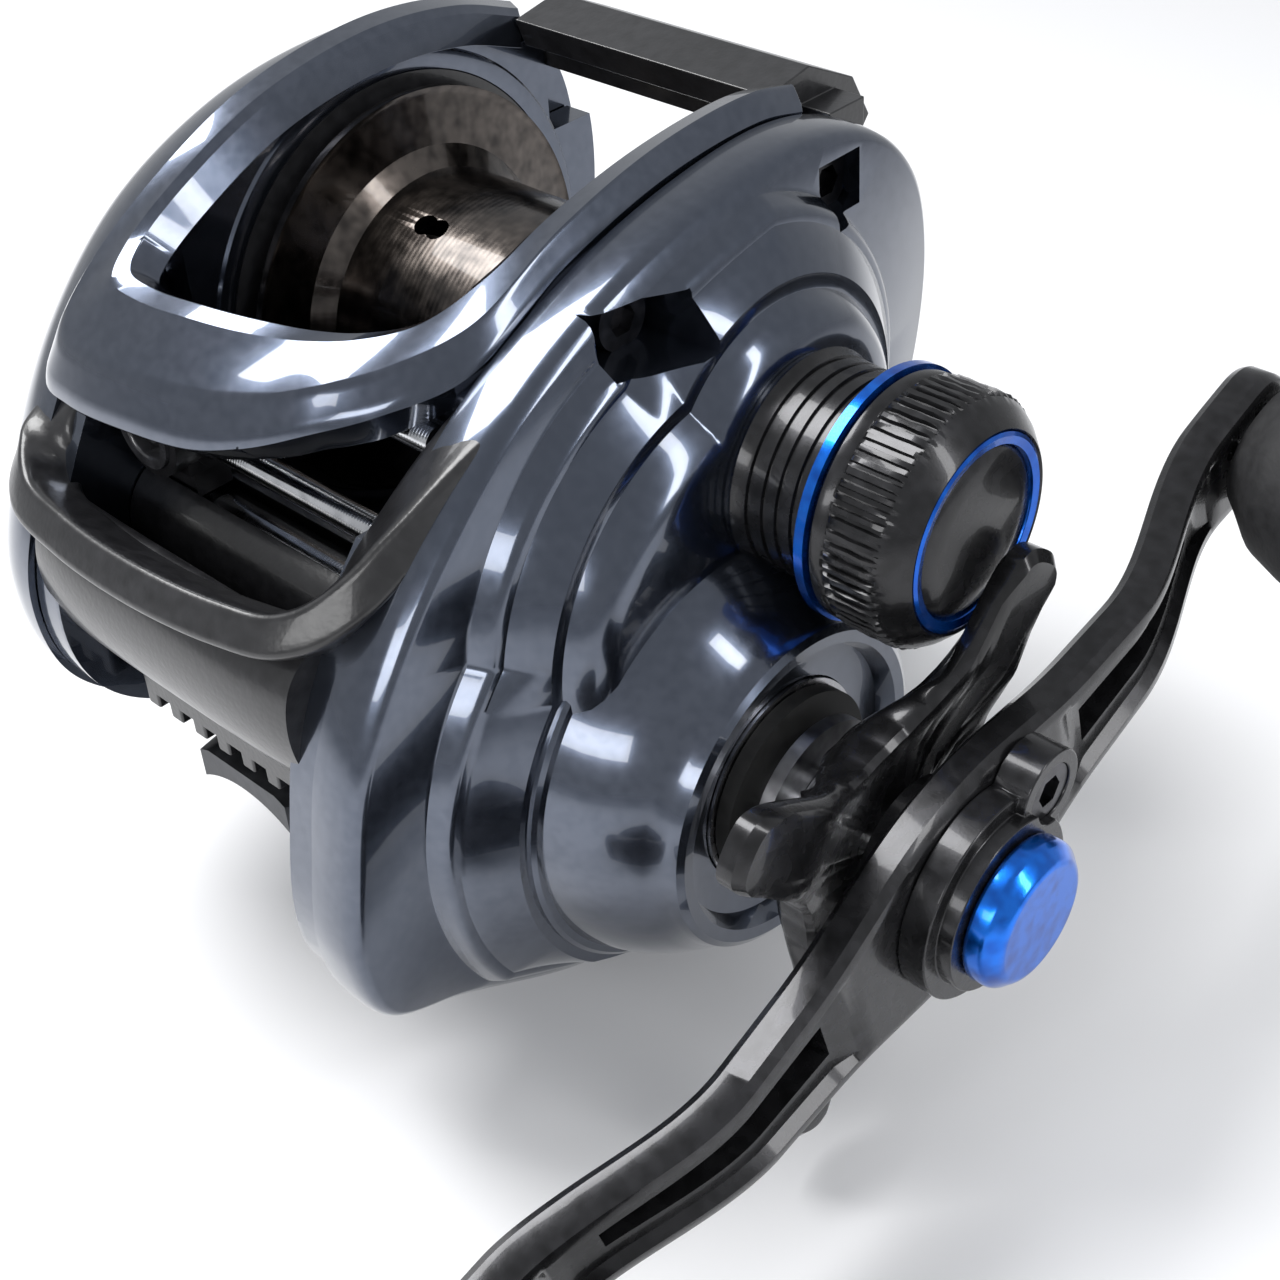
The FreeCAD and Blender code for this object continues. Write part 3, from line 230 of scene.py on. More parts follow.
def build_tone(group, ins, outs):
    """Two layers of noise blend a dark and a light colour, and the finer one varies the roughness."""
    nodes, links = group.nodes, group.links
    coords = nodes.new("ShaderNodeTexCoord")
    broad, fine = nodes.new("ShaderNodeTexNoise"), nodes.new("ShaderNodeTexNoise")
    broad.inputs["Detail"].default_value, fine.inputs["Detail"].default_value = 1.0, 1.0
    for node, label in ((broad, "Broad scale"), (fine, "Fine scale")):
        links.new(coords.outputs["Object"], node.inputs["Vector"])
        links.new(ins.outputs[label], node.inputs["Scale"])
    blend = nodes.new("ShaderNodeMath")
    blend.operation = "MULTIPLY"
    links.new(broad.outputs["Fac"], blend.inputs[0])
    links.new(fine.outputs["Fac"], blend.inputs[1])
    spread = nodes.new("ShaderNodeMapRange")
    spread.inputs["From Min"].default_value, spread.inputs["From Max"].default_value = 0.12, 0.4
    links.new(blend.outputs[0], spread.inputs["Value"])
    mix = nodes.new("ShaderNodeMix")
    mix.data_type = "RGBA"
    links.new(spread.outputs["Result"], mix.inputs["Factor"])
    links.new(ins.outputs["Dark"], mix.inputs["A"])
    links.new(ins.outputs["Light"], mix.inputs["B"])
    links.new(mix.outputs["Result"], outs.inputs["Color"])
    rough = nodes.new("ShaderNodeMapRange")
    links.new(fine.outputs["Fac"], rough.inputs["Value"])
    links.new(ins.outputs["Smooth"], rough.inputs["To Min"])
    links.new(ins.outputs["Rough"], rough.inputs["To Max"])
    links.new(rough.outputs["Result"], outs.inputs["Roughness"])


def build_grain(group, ins, outs):
    """Fine noise bumps, as on a moulded or sprayed surface."""
    nodes, links = group.nodes, group.links
    coords, noise, bump = (nodes.new(f"ShaderNode{kind}") for kind in ("TexCoord", "TexNoise", "Bump"))
    noise.inputs["Detail"].default_value = 1.0
    links.new(coords.outputs["Object"], noise.inputs["Vector"])
    links.new(ins.outputs["Scale"], noise.inputs["Scale"])
    links.new(noise.outputs["Fac"], bump.inputs["Height"])
    links.new(ins.outputs["Depth"], bump.inputs["Distance"])
    bump.inputs["Strength"].default_value = 0.6
    links.new(bump.outputs["Normal"], outs.inputs["Normal"])


def build_lathe(group, ins, outs):
    """Rings round the X axis, as a lathe leaves them: a wave of the distance along X, with noise."""
    nodes, links = group.nodes, group.links
    coords, wave, bump = (nodes.new(f"ShaderNode{kind}") for kind in ("TexCoord", "TexWave", "Bump"))
    wave.bands_direction = "X"
    wave.inputs["Distortion"].default_value = 0.6
    links.new(coords.outputs["Object"], wave.inputs["Vector"])
    links.new(ins.outputs["Scale"], wave.inputs["Scale"])
    links.new(wave.outputs["Fac"], bump.inputs["Height"])
    links.new(ins.outputs["Depth"], bump.inputs["Distance"])
    bump.inputs["Strength"].default_value = 0.5
    links.new(bump.outputs["Normal"], outs.inputs["Normal"])


COLOR, VALUE, NORMAL = "NodeSocketColor", "NodeSocketFloat", "NodeSocketVector"
TONE = effect_group("surface_tone", [("Dark", COLOR, None), ("Light", COLOR, None),
                                     ("Broad scale", VALUE, 60.0), ("Fine scale", VALUE, 900.0),
                                     ("Smooth", VALUE, 0.2), ("Rough", VALUE, 0.4)],
                    [("Color", COLOR), ("Roughness", VALUE)], build_tone)
GRAIN = effect_group("fine_grain", [("Scale", VALUE, 3000.0), ("Depth", VALUE, 0.00002)],
                     [("Normal", NORMAL)], build_grain)
LATHE = effect_group("lathe_rings", [("Scale", VALUE, 900.0), ("Depth", VALUE, 0.00001)],
                     [("Normal", NORMAL)], build_lathe)


def finish(name, dark, light, rough, metallic=0.0, coat=0.0, relief=GRAIN, scale=3000.0, depth=0.00001,
           broad=60.0, fine=900.0, coat_rough=0.05):
    """A Principled finish: toned colour, varied roughness and a relief of grain or lathe rings."""
    material = bpy.data.materials.new(name)
    material.use_nodes = True
    nodes, links = material.node_tree.nodes, material.node_tree.links
    shader = nodes["Principled BSDF"]
    tone, bumps = nodes.new("ShaderNodeGroup"), nodes.new("ShaderNodeGroup")
    tone.node_tree, bumps.node_tree = TONE, relief
    tone.inputs["Dark"].default_value, tone.inputs["Light"].default_value = (*dark, 1), (*light, 1)
    tone.inputs["Broad scale"].default_value, tone.inputs["Fine scale"].default_value = broad, fine
    tone.inputs["Smooth"].default_value, tone.inputs["Rough"].default_value = rough
    bumps.inputs["Scale"].default_value, bumps.inputs["Depth"].default_value = scale, depth
    links.new(tone.outputs["Color"], shader.inputs["Base Color"])
    links.new(tone.outputs["Roughness"], shader.inputs["Roughness"])
    links.new(bumps.outputs["Normal"], shader.inputs["Normal"])
    shader.inputs["Metallic"].default_value = metallic
    shader.inputs["Coat Weight"].default_value = coat
    shader.inputs["Coat Roughness"].default_value = coat_rough
    return material


FINISH = {
    "frame_paint": finish("gunmetal_paint", (0.062, 0.076, 0.108), (0.085, 0.100, 0.136), (0.17, 0.22),
                          0.95, 1.0, scale=6000.0, depth=0.000001, broad=45.0, fine=1200.0, coat_rough=0.03),
    "black_plastic": finish("satin_black_composite", (0.008, 0.008, 0.009), (0.017, 0.017, 0.019),
                            (0.26, 0.38), coat=0.25, scale=2200.0, depth=0.00003),
    "rail_steel": finish("polished_steel", (0.50, 0.51, 0.53), (0.72, 0.73, 0.75), (0.08, 0.2), 1.0,
                         relief=LATHE, scale=1200.0),
    "bearing_steel": finish("bearing_steel", (0.40, 0.40, 0.42), (0.58, 0.58, 0.60), (0.18, 0.35), 1.0,
                            relief=LATHE),
    "bushing": finish("dark_acetal", (0.015, 0.015, 0.017), (0.035, 0.035, 0.038), (0.35, 0.5)),
    "gear_brass": finish("cut_brass", (0.42, 0.27, 0.08), (0.70, 0.48, 0.18), (0.2, 0.4), 1.0,
                         relief=LATHE),
    "spool_bronze": finish("bronze_anodising", (0.030, 0.026, 0.024), (0.11, 0.095, 0.085), (0.16, 0.30),
                           1.0, 0.3, relief=LATHE, scale=700.0, depth=0.000006),
    "crank_black": finish("black_anodising", (0.014, 0.014, 0.015), (0.030, 0.030, 0.033), (0.22, 0.32),
                          0.7, 0.3, scale=5000.0, depth=0.000006),
    "blue_anodised": finish("blue_anodising", (0.0, 0.075, 0.44), (0.005, 0.16, 0.74), (0.16, 0.28),
                            0.9, 0.4, scale=6000.0, depth=0.000002),
    "grip_rubber": finish("soft_touch", (0.010, 0.010, 0.011), (0.026, 0.026, 0.028), (0.6, 0.8), 0.0,
                          scale=2600.0, depth=0.00004),
    "drag_parts": finish("ground_steel", (0.22, 0.22, 0.23), (0.4, 0.4, 0.42), (0.25, 0.4), 1.0,
                         relief=LATHE),
    "seal_rubber": finish("nitrile", (0.008, 0.008, 0.008), (0.018, 0.018, 0.018), (0.55, 0.7)),
    "screw_steel": finish("blackened_steel", (0.03, 0.03, 0.032), (0.10, 0.10, 0.11), (0.22, 0.4), 1.0),
    "guide_ceramic": finish("dark_ceramic", (0.02, 0.02, 0.022), (0.05, 0.05, 0.055), (0.08, 0.16),
                            0.0, 0.6),
    "foot_metal": finish("satin_foot_paint", (0.03, 0.032, 0.037), (0.07, 0.073, 0.08), (0.35, 0.5), 0.6),
}


# ---- shells ------------------------------------------------------------------------------------

SHELL_MIDDLE = np.array([-6.0, -9.0])
AROUND = 480
SHELL_SHARP = 32.0


def by_angle(points):
    """Distance from the shell's middle to a closed outline, at even angles round it."""
    v = np.asarray(points, float) - SHELL_MIDDLE
    angle = np.arctan2(v[:, 1], v[:, 0])
    order = np.argsort(angle)
    want = np.linspace(-np.pi, np.pi, AROUND, endpoint=False)
    return np.interp(want, angle[order], np.hypot(v[:, 0], v[:, 1])[order], period=2 * np.pi)


def around_both(spool_rad, drive_rad):
    """The outline round a circle on the spool's axis and one on the drive axis, tangents included:
    the hull's support is the larger of the two circles' supports, and its edge is where they bound it."""
    turn = np.linspace(0, 2 * np.pi, 720, endpoint=False)
    normal = np.stack([np.cos(turn), np.sin(turn)], -1)
    far_drive = normal @ DRIVE_AXIS + drive_rad >= spool_rad
    return by_angle(np.where(far_drive[:, None], DRIVE_AXIS + drive_rad * normal, spool_rad * normal))


def shell_ring(x, radii):
    """The ring of points at x whose distances from the shell's middle are the radii."""
    angle = np.linspace(-np.pi, np.pi, AROUND, endpoint=False)
    y = SHELL_MIDDLE[0] + radii * np.cos(angle)
    z = SHELL_MIDDLE[1] + radii * np.sin(angle)
    return np.stack([np.full(AROUND, x), y, z], -1)


HANDLE_OUTLINE = by_angle(smooth_line([
    (-19.5, 9.6), (-9.4, 14.4), (0.0, 16.8), (9.1, 17.4), (15.7, 15.6), (20.4, 11.2), (22.2, 4.6),
    (21.2, -4.6), (17.0, -14.0), (11.4, -27.7), (6.5, -35.0), (-1.1, -39.8), (-9.9, -41.0), (-18.4, -38.5),
    (-29.4, -32.4), (-35.6, -29.2), (-37.2, -23.6), (-36.2, -15.6), (-34.6, -9.0), (-31.4, -3.0),
    (-26.4, 3.4)], 400, closed=True))
CREST_X, SLOPE_RISE = 22.06, 2.2
SCREW_POCKETS = (((17.6, -12.4, 9.6), (30.0, -5.6, 13.3)), ((17.6, 9.0, 11.4), (30.0, 13.4, 15.4)))


def make_handle_plate():
    """The handle side plate: a skirt with a chamfered face, a crisp ridge round both axes that slopes in
    to a trough, the raised boss in its middle, and two pockets over the screws."""
    skirt = HANDLE_OUTLINE
    foot = np.minimum(around_both(16.3, 22.7), skirt - 1.25)
    crest, trough = foot - 1.7, np.minimum(around_both(11.9, 18.0), foot - 2.8)
    rings = [(15.5, skirt - 1.2), (15.5, skirt - 0.3), (15.7, skirt - 0.05), (17.0, skirt + 0.1),
             (18.6, skirt + 0.05), (19.5, skirt - 0.12), (19.9, skirt - 0.4), (20.15, skirt - 0.85),
             (20.3, foot + 0.1), (20.4, foot - 0.15), (21.4, foot - 0.7), (21.8, foot - 0.95),
             (22.0, foot - 1.3), (CREST_X, crest)]
    for share in (0.08, 0.3, 0.55, 0.8, 0.94, 1.0):
        rings.append((CREST_X + SLOPE_RISE * share ** 0.9, crest * (1 - share) + trough * share))
    for x, spool_rad, drive_rad in ((24.2, 11.4, 17.2), (24.3, 10.9, 16.4), (24.9, 10.5, 15.6),
                                    (25.8, 9.9, 14.0), (26.3, 9.2, 12.0), (26.6, 8.0, 10.0)):
        rings.append((x, np.minimum(around_both(spool_rad, drive_rad), trough - 0.4)))
    grid = np.array([shell_ring(x, r) for x, r in rings])
    plate = surface("handle_plate_shell", grid, "body", "frame_paint", replaces=("handle_side_plate",),
                    sharp=SHELL_SHARP)
    for low, high in SCREW_POCKETS:
        without(plate, low, high)
    plate.data.set_sharp_from_angle(angle=math.radians(SHELL_SHARP))


def make_dome():
    """The gearbox dome: a flared foot, a bowed flank and a rolled lip round a dished face."""
    profile = [(24.0, 17.3), (24.5, 17.2), (24.75, 16.9), (24.8, 16.4), (26.2, 16.0), (27.6, 15.5),
               (29.2, 14.6), (30.8, 13.4), (31.6, 12.7), (32.1, 12.5), (32.7, 12.2), (33.0, 11.7),
               (32.9, 10.8), (32.3, 10.5), (31.6, 10.2), (31.3, 9.0), (31.3, 7.7), (24.2, 7.7)]
    turned("gearbox_dome_shell", profile, DRIVE_AXIS, "body", "frame_paint", replaces=("gearbox_dome",),
           ring=True, count=220, sharp=28.0)


BOSS_START, BOSS_END, BOSS_RAD, BOSS_BORE = 25.0, 32.6, 7.3, 3.2
THREAD_START, THREAD_PITCH, THREAD_DEEP = 27.2, 1.15, 0.22


def make_boss():
    """The cast control's boss: radius = 7.3 + 2.4 exp(-(x - 25) / 0.9), a soft flare into the plate, less
    a thin groove at each turn of the thread."""
    x = np.linspace(BOSS_START, BOSS_END, 90)
    groove = np.cos((x - THREAD_START) * 2 * np.pi / THREAD_PITCH) < -0.72
    r = BOSS_RAD + 2.4 * np.exp(-(x - BOSS_START) / 0.9) - THREAD_DEEP * groove * (x > 27)
    profile = [(BOSS_START, BOSS_BORE)] + list(zip(x, r)) + [(BOSS_END, BOSS_BORE)]
    turned("cast_boss", profile, SPOOL_AXIS, "body", "crank_black", ring=True, sharp=25.0)


def make_cast_cap():
    """The cast control cap: a knurled skirt, a chamfered shoulder, a blue ring and a domed face."""
    def knurl(x, angle):
        """Square ribs with a slow beat, faded out at both ends of the skirt."""
        worn = np.clip((x - 34.6) / 0.25, 0, 1) * np.clip((38.6 - x) / 0.25, 0, 1)
        return worn * (0.14 * np.sign(np.sin(angle * 66)) + 0.05 * np.sin(angle * 41 + x * 3))
    skirt = [(33.4, 6.4), (33.4, 8.2), (33.7, 8.5), (34.4, 8.5), (34.6, 8.35), (34.9, 8.5), (35.6, 8.5),
             (36.6, 8.5), (37.6, 8.5), (38.4, 8.5), (38.7, 8.4), (39.3, 8.0), (40.2, 7.1), (40.35, 6.9),
             (40.2, 6.75)]
    turned("cast_cap_skirt", skirt, SPOOL_AXIS, "cast_control", "crank_black", knurl, 528,
           ("cast_control_cap",), 40.0, ring=True)
    ring = [(40.0, 6.75), (40.3, 6.7), (40.42, 6.45), (40.3, 5.9), (40.0, 5.75), (39.4, 5.8), (39.4, 6.7)]
    turned("cast_cap_inner_ring", ring, SPOOL_AXIS, "cast_control", "blue_anodised", ring=True)
    face = [(39.0, 0.0), (39.0, 5.76), (40.0, 5.72), (40.3, 5.3), (40.5, 4.0), (40.6, 2.0), (40.62, 0.0)]
    turned("cast_cap_face", face, SPOOL_AXIS, "cast_control", "crank_black")


def ribbon(name, outer, inner, bulge, thick, body, slot, across=26, along=220, **shading):
    """A thick curved ribbon between two edges: straight lines across from outer to inner, lifted along
    the ribbon's own normal by bulge(share across), and given a thickness on its underside."""
    o, i = smooth_line(outer, along), smooth_line(inner, along)
    w = np.linspace(0, 1, across)[None, :, None]
    flat = o[:, None] * (1 - w) + i[:, None] * w
    normal = np.cross(np.gradient(o, axis=0) + np.gradient(i, axis=0), i - o)
    normal /= np.linalg.norm(normal, axis=1)[:, None]
    normal *= np.sign(normal[:, 2:3])
    lift = np.array([bulge(v) for v in w[0, :, 0]])[None, :, None]
    top = flat + normal[:, None] * lift
    under = flat + normal[:, None] * (lift - thick)
    loop = np.concatenate([top, under[:, ::-1]], 1)
    return surface(name, loop, body, slot, **shading)


HOOD_THICK = 2.3
HOOD_ACROSS = (0.0, 0.06, 0.34, 0.40, 0.88, 1.0)
HOOD_LIFT = (0.0, 0.4, 1.35, 1.42, 0.75, 0.1)


def make_hood():
    """The top hood: from the palm side's rear, round the front of the spool, to the handle side's rear.
    Two flat bands meet in a crease along it."""
    outer = [(-15.5, 15.0, 15.6), (-15.5, 8.0, 18.0), (-15.6, 0.0, 18.8), (-15.7, -10.0, 17.2),
             (-15.9, -18.5, 13.2), (-16.4, -25.4, 8.2), (-16.0, -29.6, 4.2), (-12.5, -30.4, 3.9),
             (-6.0, -30.2, 4.2), (0.0, -29.2, 4.6), (4.4, -27.8, 5.8), (8.4, -26.0, 7.4), (12.4, -23.4, 9.0),
             (15.2, -18.6, 10.4), (15.3, -9.4, 14.5), (15.3, 0.0, 16.9), (15.3, 9.1, 17.4),
             (15.3, 13.4, 16.6)]
    inner = [(-12.7, 14.0, 16.8), (-12.6, 8.0, 18.8), (-12.5, 0.0, 19.6), (-12.4, -10.0, 18.2),
             (-12.4, -17.5, 15.2), (-12.2, -22.2, 12.6), (-11.2, -24.0, 11.6), (-8.4, -24.3, 11.3),
             (-3.0, -23.8, 11.5), (1.2, -22.8, 11.5), (4.8, -21.6, 11.5), (8.2, -20.0, 11.8),
             (10.8, -17.4, 12.4), (11.9, -13.0, 14.2), (12.0, -8.0, 15.8), (12.0, 0.0, 17.3),
             (12.0, 9.1, 17.8), (12.0, 13.4, 17.0)]

    def crown(w):
        """The lift of the two bands at a share of the way across."""
        return float(np.interp(w, HOOD_ACROSS, HOOD_LIFT))
    hood = ribbon("hood_shell", outer, inner, crown, HOOD_THICK, "body", "frame_paint", sharp=20.0)
    edges = hood.modifiers.new("edges", "BEVEL")
    edges.limit_method, edges.angle_limit = "ANGLE", math.radians(50)
    edges.width, edges.segments = 0.35 * MM, EDGE_STEPS


UPRIGHT = (0.0, 0.55, 0.83)


def swept(name, path, half_wide, half_tall, power, body, slot, count=200, **shading):
    """A superellipse |u/a|^power + |v/b|^power = 1 carried along a path, kept upright."""
    line = smooth_line(path, count)
    tangent = np.gradient(line, axis=0)
    tangent /= np.linalg.norm(tangent, axis=1)[:, None]
    side = np.cross(tangent, UPRIGHT)
    side /= np.linalg.norm(side, axis=1)[:, None]
    up = np.cross(side, tangent)
    turn = np.linspace(0, 2 * np.pi, 36, endpoint=False)
    c, s = np.cos(turn), np.sin(turn)
    u = np.sign(c) * np.abs(c) ** (2 / power) * half_wide
    v = np.sign(s) * np.abs(s) ** (2 / power) * half_tall
    grid = line[:, None] + (u[None, :, None] * side[:, None] + v[None, :, None] * up[:, None])
    return surface(name, grid, body, slot, **shading)


PANEL_HINGE_Y, PANEL_HALF = -31.0, 14.0


def make_guard():
    """The front guard: a bowed rail with an arm up the front of each side, over a panel whose section
    draws back a little towards both ends."""
    rail = [(-15.9, -22.0, 6.4), (-15.9, -26.4, 2.6), (-15.7, -30.8, -0.9), (-13.6, -33.0, -2.6),
            (-8.0, -34.0, -3.0), (0.0, -34.2, -3.1), (8.0, -33.4, -2.9), (12.2, -32.4, -2.4),
            (14.6, -30.4, -0.9), (16.0, -26.6, 2.6), (17.0, -21.0, 6.7), (17.3, -16.2, 8.7)]
    swept("guard_rail", rail, 2.2, 1.5, 6.0, "body", "black_plastic", replaces=("front_guard",))
    panel = np.array([(-31.4, -3.0), (-33.4, -3.6), (-34.9, -5.2), (-35.5, -8.0), (-34.9, -11.4),
                      (-33.0, -14.4), (-31.2, -17.2), (-29.6, -17.4), (-29.6, -8.0)])
    section = smooth_line(panel, 60, closed=True)
    x = np.linspace(-14.2, 13.6, 60)
    end = np.abs(x[:, None] / PANEL_HALF) ** 4
    y = PANEL_HINGE_Y + (section[None, :, 0] - PANEL_HINGE_Y) * (1.0 - 0.10 * end) + 0.25 * end
    z = np.broadcast_to(section[None, :, 1], y.shape)
    x = np.broadcast_to(x[:, None], y.shape)
    surface("guard_panel", np.stack([x, y, z], -1), "body", "black_plastic")


PALM_MIDDLE = np.array([-7.0, -3.0])
PALM_START, PALM_DEPTH, PALM_ROWS, PALM_AROUND = -15.55, 11.85, 30, 220


def make_palm_shell():
    """The palm side plate: its outline drawn in along a quarter superellipse to a broad, soft face."""
    outline = smooth_line([(-9.4, 17.4), (0.0, 18.9), (9.1, 18.3), (15.7, 15.4), (20.2, 10.6), (21.6, 3.6),
                           (20.0, -5.6), (15.2, -14.4), (7.0, -20.8), (-5.0, -24.2), (-17.0, -25.2),
                           (-28.0, -23.8), (-34.0, -18.6), (-35.4, -11.0), (-32.8, -3.4), (-27.6, 5.2),
                           (-19.5, 12.8)], PALM_AROUND, closed=True)
    turn = np.linspace(0, np.pi / 2, PALM_ROWS)
    share = np.cos(turn) ** (2 / 2.6)
    x = PALM_START - PALM_DEPTH * np.sin(turn) ** (2 / 2.3)
    yz = PALM_MIDDLE + (outline - PALM_MIDDLE)[None] * share[:, None, None]
    grid = np.concatenate([np.broadcast_to(x[:, None, None], (PALM_ROWS, PALM_AROUND, 1)), yz], -1)
    surface("palm_shell", grid, "palm_side", "frame_paint", replaces=("palm_side_plate",), sharp=60.0)


GRIP_ROWS, GRIP_AROUND, GRIP_HALF_WIDE, GRIP_HALF_THICK, GRIP_POWER = 44, 96, 9.6, 7.4, 0.86


def make_grips():
    """The two grips: a narrow neck, a broad flattened barrel and a domed end, as a superellipse round
    each pin, its wide side square to the crank."""
    share = np.linspace(0, 1, GRIP_ROWS)
    knots = [0.0, 0.05, 0.14, 0.3, 0.5, 0.7, 0.86, 0.95, 1.0]
    widths = [0.50, 0.60, 0.80, 0.95, 1.0, 0.97, 0.82, 0.58, 0.0]
    swell = np.interp(share, knots, widths)
    swell[1:-1] = (swell[:-2] + 2 * swell[1:-1] + swell[2:]) / 4
    turn = np.linspace(0, 2 * np.pi, GRIP_AROUND, endpoint=False)
    c, s = np.cos(turn), np.sin(turn)
    u = GRIP_HALF_WIDE * np.sign(c) * np.abs(c) ** GRIP_POWER
    v = GRIP_HALF_THICK * np.sign(s) * np.abs(s) ** GRIP_POWER
    for side in ("rear", "front"):
        low, high = (np.array(p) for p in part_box(f"grip_{side}"))
        start, length = (low - SPOOL_MIDDLE)[0] / MM, (high - low)[0] / MM
        y, z = (centre(f"grip_{side}") - SPOOL_MIDDLE)[1:] / MM
        lean = math.atan2(DRIVE_AXIS[1] - z, DRIVE_AXIS[0] - y)
        ring_y, ring_z = u * math.cos(lean) - v * math.sin(lean), u * math.sin(lean) + v * math.cos(lean)
        x = np.broadcast_to((start + length * share)[:, None], (GRIP_ROWS, GRIP_AROUND))
        grid = np.stack([x, y + swell[:, None] * ring_y, z + swell[:, None] * ring_z], -1)
        surface(f"grip_barrel_{side}", grid, f"grip_{side}", "grip_rubber",
                replaces=(f"grip_{side}", f"grip_cap_{side}"), sharp=60.0)


def make_spool_ring():
    """The painted ring on the palm side's wall, round the opening for the spool."""
    profile = [(-13.9, 16.2), (-12.9, 16.2), (-12.6, 16.6), (-12.52, 17.2), (-12.6, 17.9), (-13.0, 18.3),
               (-13.9, 18.3)]
    turned("spool_opening_ring", profile, SPOOL_AXIS, "body", "frame_paint", ring=True, sharp=25.0)


# ---- crank and star ----------------------------------------------------------------------------


def on_crank(u, v, x):
    """Points (x, y, z) at u along the crank, from its axis to the rear grip, and v across it."""
    ends = [(centre(f"grip_{side}") - SPOOL_MIDDLE)[1:] / MM for side in ("rear", "front")]
    along = (ends[0] - ends[1]) / np.linalg.norm(ends[0] - ends[1])
    y = DRIVE_AXIS[0] + u * along[0] - v * along[1]
    z = DRIVE_AXIS[1] + u * along[1] + v * along[0]
    return np.stack([x, y, z], -1)


ARM_END, END_RAD = 42.6, 4.6
ARM_AT = (0, 4, 8, 13, 24, 34, 38, 42.6)
ARM_HALF_WIDE = (8.4, 8.1, 6.9, 5.4, 4.4, 4.1, 4.6, 4.8)
CRANK_START, CRANK_THICK, CRANK_DROP, DROP_FROM, DROP_OVER = 43.8, 3.0, 4.0, 20.5, 17
CHANNEL_FROM, CHANNEL_TO, CHANNEL_DEEP = 11, 37, 0.75
SLOT_FROM, SLOT_TO, SLOT_DEEP = 14, 32, 2.0


def make_crank():
    """The two-armed crank as a closed section carried along it: the arms drop by a smooth step
    s^2 (3 - 2 s) to the grips, their outer face has a channel with a rim each side, and a tapered slot is
    sunk in the channel."""
    cap = np.linspace(-ARM_END - END_RAD, -ARM_END, 16, endpoint=False)
    u = np.concatenate([cap, np.linspace(-ARM_END, ARM_END, 240), -cap[::-1]])
    far = np.abs(u)
    wide = np.interp(far, ARM_AT, ARM_HALF_WIDE)
    wide = np.convolve(np.pad(wide, 6, mode="edge"), np.ones(13) / 13, "valid")
    wide *= np.sqrt(np.clip(1 - (np.clip(far - ARM_END, 0, END_RAD) / END_RAD) ** 2, 0.004, 1))
    step = np.clip((far - DROP_FROM) / DROP_OVER, 0, 1)
    low = CRANK_START - CRANK_DROP * step ** 2 * (3 - 2 * step)
    high = low + CRANK_THICK
    sunk = CHANNEL_DEEP * np.clip((far - CHANNEL_FROM) / 3, 0, 1) * np.clip((CHANNEL_TO - far) / 3, 0, 1)
    slotted = (far > SLOT_FROM) & (far < SLOT_TO)
    slot = np.where(slotted, np.interp(far, (SLOT_FROM, SLOT_TO), (1.7, 0.8)), 0.05)
    deep = SLOT_DEEP * ((far > SLOT_FROM + 0.4) & (far < SLOT_TO - 0.4))
    rim = np.minimum(1.1, wide * 0.3)
    floor, bottom = high - sunk, high - sunk - deep
    half = [(wide * 0, low), (wide * 0.9, low), (wide, low + 0.6), (wide, high - 0.7),
            (wide * 0.92, high - 0.1), (wide * 0.86, high), (wide - rim - 0.2, high),
            (wide - rim - 0.7, floor), (slot + 0.05, floor), (slot, bottom), (slot * 0, bottom)]
    loop = half + [(-v, x) for v, x in half[-2:0:-1]]
    grid = np.stack([on_crank(u, v, x) for v, x in loop], 1)
    surface("crank_arms", grid, "crank", "crank_black", replaces=("crank_handle",), sharp=SHELL_SHARP)


STAR_ARMS = np.array([54.0, 144.0, 234.0, 324.0])
STAR_AWAY = (0, 4, 6.6, 8, 10, 14, 21, 32, 45)
STAR_REACH = (21.4, 21.3, 20.7, 19.4, 16.8, 13.6, 10.9, 9.4, 9.0)
STAR_TOP = ((0, 7.6, 13.4), (41.6, 41.6, 43.4))
STAR_UNDER = ((0, 7.4, 12.2), (37.0, 37.0, 41.0))


def star_row(turn, r, drop, top):
    """One ring of the star's upper or lower face, at radii r, drawn in by drop towards its middle plane.
    The tips of the upper face rise half a millimetre."""
    at, height = STAR_TOP if top else STAR_UNDER
    x = np.interp(r, at, height) + (-drop if top else drop)
    if top:
        x = x + 0.5 * (np.clip(r - 17.5, 0, 2.0) / 2.0) - 0.5
    return np.stack([x, DRIVE_AXIS[0] + r * np.cos(turn), DRIVE_AXIS[1] + r * np.sin(turn)], -1)


def make_star():
    """The star drag: four arms with blunt tips, its outline R(angle) scaled in towards the axis, and its
    height stepping up outside the hub so that the arms pass over the cast control cap."""
    turn = np.linspace(0, 360, 480, endpoint=False)
    away = np.abs((turn[:, None] - STAR_ARMS + 180) % 360 - 180).min(1)
    reach = np.interp(away, STAR_AWAY, STAR_REACH)
    reach = np.convolve(np.pad(reach, 2, mode="wrap"), np.ones(5) / 5, "valid")
    turn = np.radians(turn)
    upper = ((0.02, 0), (0.3, 0), (0.5, 0), (0.65, 0), (0.8, 0), (0.9, 0.05), (0.965, 0.2), (1.0, 0.75))
    lower = ((1.0, 0.5), (0.96, 0.1), (0.8, 0), (0.5, 0), (0.3, 0), (0.02, 0))
    rows = [star_row(turn, reach * share, drop, True) for share, drop in upper]
    rows += [star_row(turn, reach * share, drop, False) for share, drop in lower]
    surface("star_arms", np.array(rows), "star", "crank_black", replaces=("star_drag",), sharp=SHELL_SHARP)


def dress_packed_pieces():
    """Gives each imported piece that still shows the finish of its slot."""
    for node, piece in frame["nodes"].items():
        piece.data.materials.clear()
        piece.data.materials.append(FINISH[NODE_SLOT[node]])


